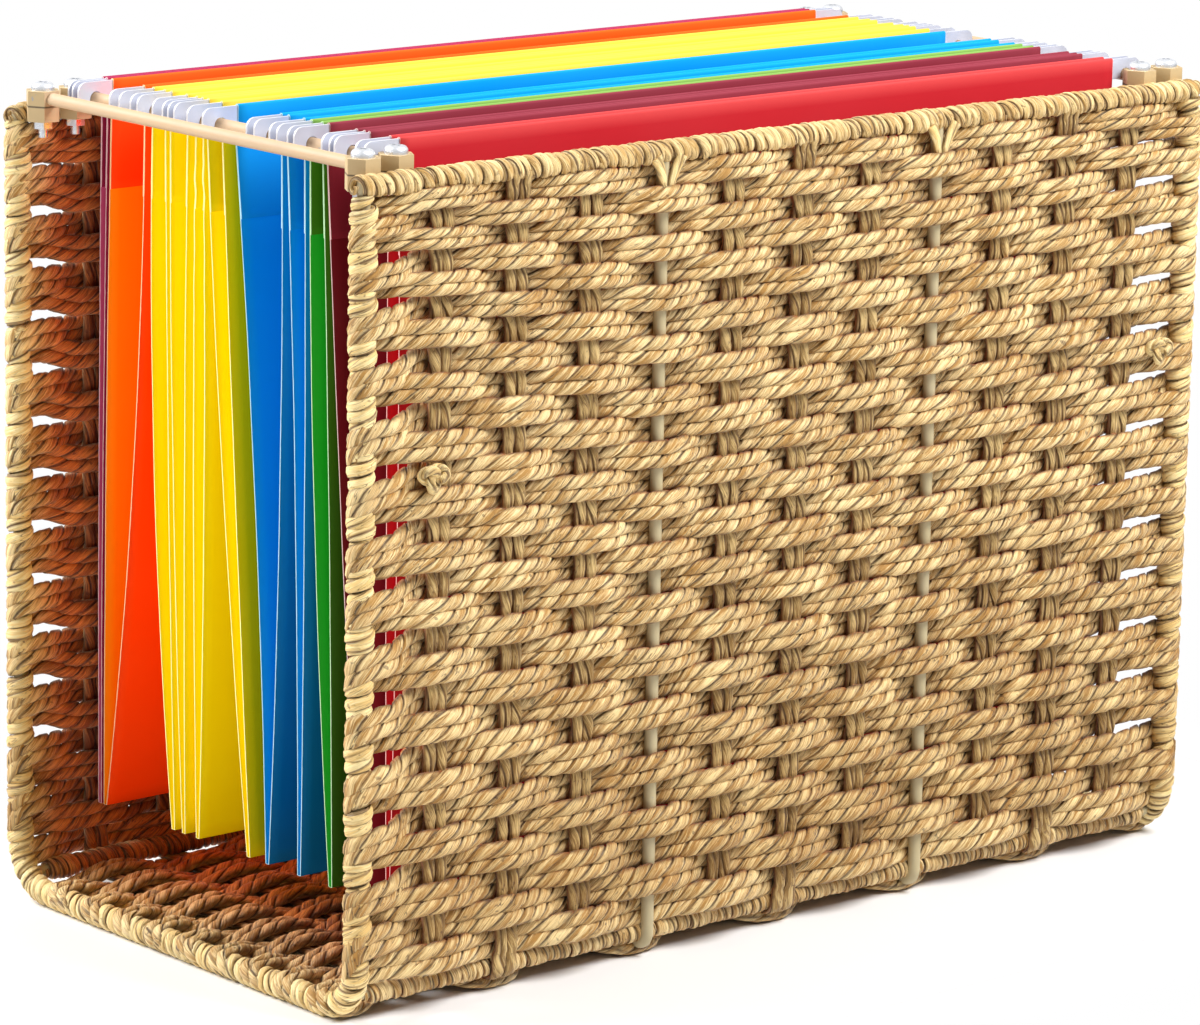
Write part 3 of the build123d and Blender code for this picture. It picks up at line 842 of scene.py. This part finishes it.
def card_group():
    """Card stock: outside or inside colour, pale along the cut ends, faint fibres, and the
    light that comes through it, which is strongest near the top."""
    if "Card stock" in bpy.data.node_groups:
        return bpy.data.node_groups["Card stock"]
    tree, given, wanted = group("Card stock", {
        "Place": None, "Inside": 0.0, "End": 0.149, "Sleeve": 0.25, "Foot shade": 1.0,
        "Outer": (0.8, 0.1, 0.1, 1), "Inner": (0.8, 0.2, 0.1, 1), "Top": (0.9, 0.3, 0.2, 1),
        "Core": (0.9, 0.9, 0.85, 1)}, SURFACE + (("Painted glow", "NodeSocketColor"),))
    cloud = noise(tree, given["Place"], (14, 14, 26), 3.0)
    fibre = noise(tree, given["Place"], (900, 900, 260), 2.0)
    height = axis_of(tree, given["Place"], "Z")
    # Painted shade: the outer colour darkens towards the foot
    foot_shade = span(tree, height, BASE_Z + 15 * MM, RIM_Z, given["Foot shade"], 1.0)
    outer = scaled(tree, given["Outer"], foot_shade)
    colour = blend_colour(tree, given["Inside"], outer, given["Inner"])
    # Painted light: the sleeves at the top take a lighter colour
    sleeve = span(tree, height, given["Sleeve"], CARD_TOP)
    colour = blend_colour(tree, sleeve, colour, given["Top"])
    worn = blend_colour(tree, span(tree, cloud, 0.3, 0.7, 0.0, 0.02), colour, given["Core"])
    reach = reckon(tree, "ABSOLUTE", axis_of(tree, given["Place"], "X"))
    frayed = reckon(tree, "ADD", reckon(tree, "SUBTRACT", reach, given["End"]),
                    span(tree, fibre, 0.3, 0.7, -0.1 * MM, 0.1 * MM))
    pale = span(tree, frayed, -0.16 * MM, -0.08 * MM, 0.0, 0.8)
    # The glow is painted light: emission in the card's colour that grows towards the top
    link_all(tree, wanted, {
        "Color": blend_colour(tree, pale, worn, given["Core"]), "Height": fibre,
        "Gloss": span(tree, cloud, 0.3, 0.7, 0.5, 0.62),
        "Painted glow": scaled(tree, colour, span(tree, height, BASE_Z, RIM_Z, 0.45, 1.0))})
    return tree


def card_materials(colour, edge, end):
    """The card's face material and the pale material of its cut edges."""
    outer, inner, top = CARD_COLOURS[colour]
    core = tuple(e * (0.4 + 0.6 * i ** 0.5) for e, i in zip(edge, inner))
    made = []
    for name, tones, foot in (
            (f"Card {colour}", (outer, inner, top), CARD_FOOT_SHADE.get(colour, 1.0)),
            (f"Card {colour} cut edge", (core, core, core), 1.0)):
        if name in bpy.data.materials:
            made.append(bpy.data.materials[name])
            continue
        material, tree, shader, coords = new_material(name, {
            "Emission Strength": CARD_PAINTED_GLOW, "Specular IOR Level": 0.04})
        given = {"Place": coords["Object"],
                 "Inside": node(tree, "ShaderNodeAttribute", attribute_name="inside")["Fac"],
                 "Core": (*core, 1), "Sleeve": CARD_TOP - 4.5 * MM, "Foot shade": foot, "End": end}
        given.update({label: (*tone, 1) for label, tone in zip(("Outer", "Inner", "Top"), tones)})
        stock = node(tree, "ShaderNodeGroup", given, node_tree=card_group())
        cover(tree, shader, stock["Color"], stock["Gloss"], stock["Height"], 0.15, 0.08 * MM)
        tree.links.new(stock["Painted glow"], shader.inputs["Emission Color"])
        made.append(material)
    return made


def loop_line(step):
    """Line of an end loop from its back top round the base to its front top, in Y and Z."""
    bend = 15 * MM
    straight = np.arange(WALL_TOP + 1.5 * MM, LOOP_LOW + bend, -step)
    turn = np.linspace(0, pi / 2, int(bend * pi / 2 / step))
    half_base = WALL_Y - bend
    down = np.stack([np.full(len(straight), WALL_Y), straight], -1)
    corner = np.stack([half_base + bend * np.cos(turn), LOOP_LOW + bend * (1 - np.sin(turn))], -1)
    base = np.arange(half_base - step, 0, -step)
    flat = np.stack([base, np.full(len(base), LOOP_LOW)], -1)
    half = np.concatenate([down, corner, flat])
    return np.concatenate([half, half[::-1] * (-1, 1)])


def stake_line(step, outside):
    """Line of a rope stake from the front of the back rim rod, down the wall, past the base rod
    on one side or the other and along the base to the other wall, in Y and Z."""
    bend_top = BASE_ROD_Z + 5 * MM
    straight = np.arange(RIM_Z - 0.5 * MM, bend_top, -step)
    lean = 2.0 * MM * smooth((straight - RIM_Z + 7 * MM) / (6 * MM))
    down = np.stack([WALL_Y + lean, straight], -1)
    if outside:
        turn = np.linspace(0, pi / 2, 7)
        round_rod = 4.2 * MM
        corner = np.stack([BASE_ROD_Y + round_rod * np.cos(turn),
                           BASE_ROD_Z - round_rod * np.sin(turn)], -1)
    else:
        slant = np.linspace(0.1, 1, 7)
        corner = np.stack([WALL_Y - (WALL_Y - BASE_ROD_Y + 5.2 * MM) * smooth(slant),
                           bend_top - (bend_top - BASE_Z) * slant], -1)
    base = np.arange(corner[-1, 0] - step, 0, -step)
    flat = np.stack([base, np.full(len(base), BASE_Z)], -1)
    half = np.concatenate([down, corner, flat])
    line = np.concatenate([half, half[::-1] * (-1, 1)])
    travel = travel_along(line)
    even = np.linspace(0, travel[-1], STAKE_RINGS)
    return np.stack([np.interp(even, travel, line[:, i]) for i in range(2)], -1)


def on_base(line):
    """A weft's run, out and rise put on the base, bulging past its edges between the ends."""
    lift = np.where(line[:, 1] > 0, 0.95, 0.7) * line[:, 1]
    edge = smooth((np.abs(line[:, 2]) - BASE_EDGE_Y + 8 * MM) / (3 * MM))
    within = np.cos(np.clip(line[:, 0] / POST_X, -1, 1) * pi / 2) ** 0.2
    outward = smooth(-line[:, 1] / bpy.context.scene.basket_rope.swing)
    bulge = 5.2 * MM * edge * within * outward
    return np.stack([line[:, 0], line[:, 2] + np.sign(line[:, 2]) * bulge, BASE_Z + lift], -1)


class BASKET_OT_wefts(bpy.types.Operator):
    """Lay the doubled ropes of the two walls and the base"""
    bl_idname = "basket.wefts"
    bl_label = "Wefts"

    def execute(self, context):
        tilt = context.scene.basket_rope.tilt
        walls = (("front", 1, 11, drawn_front, (LEAN_NEAR, LEAN_FAR)),
                 ("back", -1, 23, drawn_back, (LEAN_FAR, LEAN_BACK)))
        for side, facing, seed, drawn, leans in walls:
            def on_wall(line, facing=facing, drawn=drawn):
                x, y = facing * line[:, 0], -facing * (WALL_Y + line[:, 1])
                return np.stack([x, y, line[:, 2] + drawn(x, line[:, 2])], -1)
            weft_pair(side, row_heights(), facing * tilt, leans, on_wall, (0, 0, 1), seed)
        across = BASE_EDGE_Y * (2 * (np.arange(BASE_ROWS) + 0.5) / BASE_ROWS - 1)
        weft_pair("base", across, 0.0, (LEAN_BASE, LEAN_BASE), on_base, (0, 1, 0), 37)
        return {"FINISHED"}


class BASKET_OT_stakes(bpy.types.Operator):
    """Stand the straw strands in the walls and lay them across the base"""
    bl_idname = "basket.stakes"
    bl_label = "Rope stakes"

    def execute(self, context):
        stake = context.scene.basket_stake
        rng = np.random.default_rng(5)
        heights = row_heights()
        lines = {parity: stake_line(1.9 * MM, parity == 0) for parity in (0, 1)}
        paths = []
        for k in range(-STAKES_PER_SIDE, STAKES_PER_SIDE + 1):
            if abs(k) == 2:  # a painted stake stands there
                continue
            y, z = lines[k % 2].T
            inside_wall = (z > WALL_LOW) & (z < WALL_TOP)
            drawn = np.where(y < 0, drawn_front(k * STAKE_PITCH, z),
                             drawn_back(k * STAKE_PITCH, z))
            row = np.interp(z - drawn, heights, np.arange(len(heights)))
            # Every row pushes the stake out or in
            sway = 0.7 * MM * np.cos(pi * (row + k)) * inside_wall
            for side in (-1, 1):
                x = np.full(len(y), k * STAKE_PITCH + side * stake.spread)
                x = x + 0.35 * MM * ripple(travel_along(lines[k % 2]), rng, 97 * MM, 41 * MM)
                paths.append(np.stack([x, y + np.sign(y) * sway, z], -1))
        path = np.stack(paths)
        # The strands flatten and widen where they bend round the base rods
        foot = smooth((BASE_ROD_Z + 7 * MM - path[..., 2]) / (7 * MM))
        foot = foot * smooth((np.abs(path[..., 1]) - BASE_ROD_Y + 6 * MM) / (4 * MM))
        points, along, around, fields = twisted_rope(
            path, (1, 0, 0), stake.half_thick * (1 - 0.35 * foot),
            stake.half_wide * (1 + 0.3 * foot), STAKE_LAY, rng)
        fields["inward"] = inside_shade_weight(points, path)
        points[..., 2] = np.maximum(points[..., 2], ROPE_REST)
        piece = ring_mesh("rope_stake_strands", points, along, around, fields)
        dress(piece, BASKET, "seagrass_stake", straw_material("Stake straw", stake, 0.9))
        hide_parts("front_rope_stakes", "back_rope_stakes", "base_rope_stakes")
        self.collars(context.scene.basket_wrap, rng)
        return {"FINISHED"}

    def collars(self, wrap, rng):
        """Strands that come from under the rim's straw and close on the painted stakes.

        A strand's line is x = middle + side (0.9 + 4.4 (1 - t)^2) mm while it falls 14 mm."""
        t = np.linspace(0, 1, 16)
        stake_x = middle("right_painted_stake")[0]
        path = np.stack([
            np.stack([stake_x * end + side * (0.9 + 4.4 * (1 - t) ** 2) * MM,
                      wall * (WALL_Y + (2.9 - 1.1 * t) * MM), RIM_Z - (1.0 + 14.0 * t) * MM], -1)
            for end in (-1, 1) for side in (-1, 1) for wall in (-1, 1)])
        slim = 1 - 0.55 * t
        points, along, around, fields = twisted_rope(
            path, (1, 0, 0), 1.2 * MM * slim, 2.2 * MM * slim, COLLAR_LAY, rng)
        piece = ring_mesh("stake_collars", points, along, around, fields)
        dress(piece, BASKET, "seagrass_rope", straw_material("Wrap straw", wrap))


class BASKET_OT_wraps(bpy.types.Operator):
    """Wind the straw round the end loops, the rim rods and the base rods"""
    bl_idname = "basket.wraps"
    bl_label = "Straw wraps"

    def execute(self, context):
        scene = context.scene
        wrap = scene.basket_wrap
        straws = {"loop": straw_material("Wrap straw", wrap),
                  "rim": straw_material("Rim straw", scene.basket_rim),
                  "base": straw_material("Base wrap straw", scene.basket_rope)}
        row = (WALL_TOP - WALL_LOW) / WALL_ROWS
        flat = loop_line(WIRE_STEP)
        for side, x, seed in (("left", -POST_X, 51), ("right", POST_X, 52)):
            rng = np.random.default_rng(seed)
            path = np.stack([np.full(len(flat), x), flat[:, 0], flat[:, 1]], -1)
            at_back, height = path[:, 1] > 0, path[:, 2]
            # The wrap is pressed in where a row turns round it, every second row
            joint = np.where(at_back == (x < 0), row, 0)
            drawn = np.where(at_back, drawn_back(x, height), drawn_front(x, height))
            swell = np.cos(tau * (height - drawn - WALL_LOW - joint) / (2 * row))
            upright = smooth((height - WALL_LOW) / (8 * MM))
            radius = LOOP_WRAP / 2 - wrap.half_thick - 0.35 * MM + 0.42 * MM * swell * upright
            self.wind(f"{side}_loop", path, radius, wrap.half_wide, wrap.half_thick,
                      wrap.pitch, wrap.lay, rng, straws["loop"])
        for name, y, z, half_run, seed, pitch, thick in ROD_WRAPS:
            rng = np.random.default_rng(seed)
            run = np.arange(-half_run + WIRE_STEP, half_run - 0.5 * MM, WIRE_STEP)
            # The back rim's straw sags at its left end
            dip = 1.4 * MM * smooth((12 * MM - run - half_run) / (9 * MM))
            dip = dip if name == "back_rim" else 0
            path = np.stack([run, np.full(len(run), y), np.full(len(run), z) - dip], -1)
            # The coil closes to a round tip over its last turn
            end = np.clip((half_run - np.abs(run)) / (3.4 * MM), 0, 1)
            radius = (RIM_WRAP / 2 - thick * MM) * np.sqrt(1 - (1 - end) ** 2)
            radius = radius + 0.25 * MM * ripple(run + half_run, rng, 23 * MM, 13 * MM)
            self.wind(name, path, radius, 0.55 * pitch * MM, thick * MM, pitch * MM,
                      ROD_LAY, rng, straws[name.split("_")[1]])
        return {"FINISHED"}

    def wind(self, name, path, radius, half_wide, half_thick, pitch, lay, rng, straw):
        """One strand wound along a path: a twisted strand whose line is a helix."""
        line, ahead, place = wound_line(path, radius, pitch, rng)
        from_end = np.minimum(place, place[-1] - place)
        slim = 0.4 + 0.6 * smooth(from_end / (3 * MM))
        points, travel, around, fields = twisted_rope(
            line[None], ahead[None], half_thick * slim, half_wide * slim, lay, rng)
        if name.endswith("base"):
            fields["inward"] = inside_shade_weight(points, line[None])
        points[..., 2] = np.maximum(points[..., 2], WRAP_REST)
        piece = ring_mesh(f"{name}_straw", points, travel, around, fields)
        dress(piece, BASKET, "seagrass_rope", straw)
        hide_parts(f"{name}_wrap")


class BASKET_OT_knots(bpy.types.Operator):
    """Tie the small knots where two lengths of rope meet in the front wall"""
    bl_idname = "basket.knots"
    bl_label = "Knots"

    def execute(self, context):
        """A knot is the trefoil (sin t + 2 sin 2t, -0.9 sin 3t, cos t - 2 cos 2t), open below."""
        rng = np.random.default_rng(71)
        t = np.linspace(0.25, tau - 0.25, 61)
        knot = np.stack([np.sin(t) + 2 * np.sin(2 * t), -0.9 * np.sin(3 * t),
                         np.cos(t) - 2 * np.cos(2 * t)], -1) * 1.45 * MM
        path = knot[None] * (1, 0.8, 0.85) + np.array(KNOTS)[:, None, :]
        points, along, around, fields = twisted_rope(
            path, (0, -1, 0.01), 1.5 * MM, 1.5 * MM, KNOT_LAY, rng)
        piece = ring_mesh("weft_knots", points, along, around, fields)
        straw = straw_material("Wrap straw", context.scene.basket_wrap)
        dress(piece, BASKET, "seagrass_rope", straw)
        return {"FINISHED"}


class BASKET_OT_metal(bpy.types.Operator):
    """Paint the wires, bars and blocks, and plate the screws, nuts and hanger strips"""
    bl_idname = "basket.metal"
    bl_label = "Metal finishes"

    def execute(self, context):
        finish = context.scene.basket_finish
        ends = ("left", "right")
        wires = ["front_rim_rod", "back_rim_rod", "front_base_rod", "back_base_rod"]
        wires += [f"{end}_{kind}" for end in ends for kind in ("end_loop", "painted_stake")]
        bars = [f"{end}_{kind}" for end in ends for kind in ("end_bar", "file_rail")]
        finishes = ((wires, painted("Wire paint", finish.wire)),
                    (["frame_blocks"] + bars, painted("Bar paint", finish.bar, finish.block)),
                    (["cap_screws", "lock_nuts"], zinc_material(finish.zinc)),
                    ([f"{name}_hangers" for name in FILES], hanger_material(finish.plate)))
        for names, material in finishes:
            for name in names:
                for slot in frame["nodes"][name].material_slots:
                    slot.material = material
        return {"FINISHED"}


def card_line(name, card):
    """Middle line of a file's folded card in Y and Z, with the weight of its flutter and which
    leaf each point is on.

    From the foot of one lap up inside the strip's sleeve, over the top, down the leaf to the
    fold, and the same on the other leaf. A leaf is y = foot + (top - foot) t + 4 bow t (1 - t),
    with t its height from the fold to the sleeve."""
    low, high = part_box(f"{name}_card")
    strips_low, strips_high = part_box(f"{name}_hangers")
    co = np.array([v.co for v in frame["nodes"][f"{name}_card"].data.vertices])
    fold = co[co[:, 2] < low.z + 0.1 * MM, 1].mean()
    sleeve_low = high.z - card.sleeve
    sleeve = STRIP_HALF + SLEEVE_ROOM
    half_sleeve = sleeve * 0.68
    hangs = (strips_high.y - STRIP_HALF, strips_low.y + STRIP_HALF)
    lines, weights, leaves = [], [], []
    for hang, bow, side in zip(hangs, LEAF_BOWS[name], (1, -1)):
        foot = fold + side * (card.fold - card.thickness) / 2
        t = np.linspace(0, 1, LEAF_POINTS)
        height = low.z + card.thickness / 2 + t * (sleeve_low - low.z)
        top_y = hang + side * sleeve / 2 * 1.35
        leaf_y = foot + (top_y - foot) * t + 4 * bow * MM * t * (1 - t)
        lap_z = np.linspace(high.z - card.lap, sleeve_low - 1.2 * MM, 9)
        lap_y = np.interp(lap_z, height, leaf_y) - side * (card.thickness + 0.06 * MM)
        over = np.linspace(0, pi, 9)
        top = high.z - card.thickness / 2 - half_sleeve
        inner = np.stack([[hang - side * half_sleeve] * 2, [sleeve_low + 1 * MM, top]], -1)
        crown = np.stack([hang - side * half_sleeve * np.cos(over),
                          top + half_sleeve * np.sin(over)], -1)
        line = np.concatenate([np.stack([lap_y, lap_z], -1), inner, crown[1:],
                               np.stack([leaf_y, height], -1)[::-1]])
        share = np.clip((line[:, 1] - low.z) / (sleeve_low - low.z), 0, 1)
        lines.append(line[::side])
        weights.append((4 * share * (1 - share))[::side])
        leaves.append(np.full(len(line), side))
    return np.concatenate(lines), np.concatenate(weights), np.concatenate(leaves), low, high


def crumple(run, heights, low, high, rng):
    """Waves near the end of a file's leaves, below the sleeves, that die out along the card."""
    upper = smooth((heights - high.z + 75 * MM) / (30 * MM)) * smooth(
        (high.z - 9 * MM - heights) / (6 * MM))
    near_end = np.exp(-(run - low.x) / (9 * MM))[:, None]
    return 0.42 * MM * upper * near_end * ripple(heights[None], rng, 17 * MM, 9 * MM)[0]


class BASKET_OT_cards(bpy.types.Operator):
    """Fold the card of every hanging file"""
    bl_idname = "basket.cards"
    bl_label = "File cards"

    def execute(self, context):
        card = context.scene.basket_card
        for seed, name in enumerate(FILES):
            rng = np.random.default_rng(100 + seed)
            line, weight, leaf_of, low, high = card_line(name, card)
            run = np.linspace(low.x, high.x, CARD_STATIONS)
            stations = run[:, None] * np.ones(len(line))
            wave = ripple(np.stack([run, run + 0.4]), rng, 210 * MM, 97 * MM)
            lift = ripple(line[None, :, 1], rng, 120 * MM, 61 * MM)[0]
            sway = np.where(leaf_of > 0, wave[0][:, None], wave[1][:, None])
            y = line[:, 0] + card.flutter * weight * (sway + 0.5 * lift)
            if name == "yellow_file_3":
                y = y + crumple(run, line[:, 1], low, high, rng)
            z = np.broadcast_to(line[:, 1], y.shape)
            tangent = np.gradient(line, axis=0)
            normal = unit(np.stack([-tangent[:, 1], tangent[:, 0]], -1)) * card.thickness / 2
            outside = np.stack([stations, y + normal[:, 0], z + normal[:, 1]], -1)
            inside = np.stack([stations, y - normal[:, 0], z - normal[:, 1]], -1)
            points = np.concatenate([outside, inside[:, ::-1]], axis=1)[None]
            # Painted light: the outsides of the files in PALE_OUTSIDE take part of the inside
            # colour
            flags = np.repeat([PALE_OUTSIDE.get(name, 0.0), 1.0], len(line))
            piece = ring_mesh(f"{name}_sheet", points, run[None],
                              np.linspace(0, 1, len(flags) + 1), {"inside": flags}, pair_caps=True)
            colour = name.split("_")[0]
            dress(piece, name, f"card_{colour}", *card_materials(colour, card.edge, high.x))
            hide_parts(f"{name}_card")
        return {"FINISHED"}


class BASKET_OT_stage(bpy.types.Operator):
    """Set the floor, the white surround, the lamps and the camera"""
    bl_idname = "basket.stage"
    bl_label = "Stage"

    def execute(self, context):
        scene = context.scene
        stage = scene.basket_stage
        self.place_camera(scene, stage)
        self.make_floor(stage)
        self.make_sky(scene, stage)
        for (name, place, size), power in ((KEY_LAMP, stage.key), (FRONT_LAMP, stage.front)):
            light = bpy.data.lights.new(name, "AREA")
            light.shape = "DISK"
            light.size = size
            light.energy = power
            lamp = new_object(name, light)
            lamp.location = place
            ray = Vector(LAMP_TARGET) - Vector(place)
            lamp.rotation_euler = ray.to_track_quat("-Z", "Y").to_euler()
        return {"FINISHED"}

    def place_camera(self, scene, stage):
        """The camera of the photo, turned by azimuth, elevation and roll about its aim."""
        azimuth, elevation, roll = stage.azimuth, stage.elevation, stage.roll
        forward = Vector((sin(azimuth) * cos(elevation), cos(azimuth) * cos(elevation),
                          -sin(elevation)))
        level = Vector((cos(azimuth), -sin(azimuth), 0))
        down = forward.cross(level)
        right = cos(roll) * level + sin(roll) * down
        up = sin(roll) * level - cos(roll) * down
        camera = bpy.data.cameras.new("Camera")
        camera.lens = stage.lens
        camera.sensor_width = 36
        camera.clip_start, camera.clip_end = 0.05, 30
        holder = new_object("Camera", camera)
        turned = Matrix((right, up, -forward)).transposed().to_4x4()
        place = Vector(stage.aim) - forward * stage.distance
        holder.matrix_world = Matrix.Translation(place) @ turned
        scene.camera = holder
        scene.view_settings.view_transform = "Standard"

    def make_floor(self, stage):
        """A large pale floor that fades into the white surround round the basket."""
        half = FLOOR_HALF
        mesh = bpy.data.meshes.new("floor")
        corners = [(-half, -half, 0), (half, -half, 0), (half, half, 0), (-half, half, 0)]
        mesh.from_pydata(corners, [], [(0, 1, 2, 3)])
        floor = new_object("floor", mesh)
        material, tree, shader, coords = new_material("Floor", {
            "Base Color": (*stage.floor, 1), "Roughness": 0.6, "Specular IOR Level": 0.2})
        past = coords["Object"]
        for operation, other in (("ABSOLUTE", (0, 0, 0)), ("SUBTRACT", (POST_X, WALL_Y, 0)),
                                 ("MAXIMUM", (0, 0, 0))):
            past = node(tree, "ShaderNodeVectorMath", {0: past, 1: other},
                        operation=operation)[0]
        past = node(tree, "ShaderNodeVectorMath", {0: past}, operation="LENGTH")["Value"]
        far = node(tree, "ShaderNodeMapRange", {
            "Value": past, "From Min": 0.0, "From Max": FLOOR_FADE},
            interpolation_type="SMOOTHSTEP")[0]
        seen = node(tree, "ShaderNodeLightPath")["Is Camera Ray"]
        gone = reckon(tree, "MULTIPLY", far, seen)
        tree.links.new(span(tree, gone, 0, 1, 1, 0), shader.inputs["Alpha"])
        mesh.materials.append(material)

    def make_sky(self, scene, stage):
        """Even light from all round, plain white where the camera and reflections see it."""
        world = bpy.data.worlds.new("Surround")
        world.use_nodes = True
        tree = world.node_tree
        paths = node(tree, "ShaderNodeLightPath")
        seen = reckon(tree, "MAXIMUM", paths["Is Camera Ray"], paths["Is Glossy Ray"])
        back = tree.nodes["Background"]
        back.inputs["Color"].default_value = (1, 1, 1, 1)
        tree.links.new(span(tree, seen, 0, 1, stage.sky, 1.0), back.inputs["Strength"])
        scene.world = world


class BASKET_PT_panel(bpy.types.Panel):
    """Buttons for the pieces of the basket"""
    bl_idname = "BASKET_PT_panel"
    bl_label = "Hanging File Basket"
    bl_space_type = "VIEW_3D"
    bl_region_type = "UI"
    bl_category = "Basket"

    def draw(self, context):
        for operator in OPERATORS:
            self.layout.operator(operator.bl_idname)
        for kind, name in SETTINGS:
            column = self.layout.column(heading=kind.__doc__)
            for key in kind.__annotations__:
                column.prop(getattr(context.scene, name), key)


OPERATORS = (BASKET_OT_stage, BASKET_OT_metal, BASKET_OT_cards, BASKET_OT_wefts,
             BASKET_OT_stakes, BASKET_OT_wraps, BASKET_OT_knots)
SETTINGS = (
    (RopeSettings, "basket_rope"), (WrapSettings, "basket_wrap"), (RimSettings, "basket_rim"),
    (StakeSettings, "basket_stake"), (CardSettings, "basket_card"),
    (FinishSettings, "basket_finish"), (StageSettings, "basket_stage"),
)


def register():
    for kind, name in SETTINGS:
        bpy.utils.register_class(kind)
        setattr(bpy.types.Scene, name, bpy.props.PointerProperty(type=kind))
    for kind in OPERATORS + (BASKET_PT_panel,):
        bpy.utils.register_class(kind)


def unregister():
    for kind in (BASKET_PT_panel,) + OPERATORS[::-1]:
        bpy.utils.unregister_class(kind)
    for kind, name in SETTINGS[::-1]:
        delattr(bpy.types.Scene, name)
        bpy.utils.unregister_class(kind)


def main():
    register()
    bpy.ops.basket.stage()
    bpy.ops.basket.metal()
    bpy.ops.basket.cards()
    bpy.ops.basket.wefts()
    bpy.ops.basket.stakes()
    bpy.ops.basket.wraps()
    bpy.ops.basket.knots()


if __name__ == "__main__":
    main()
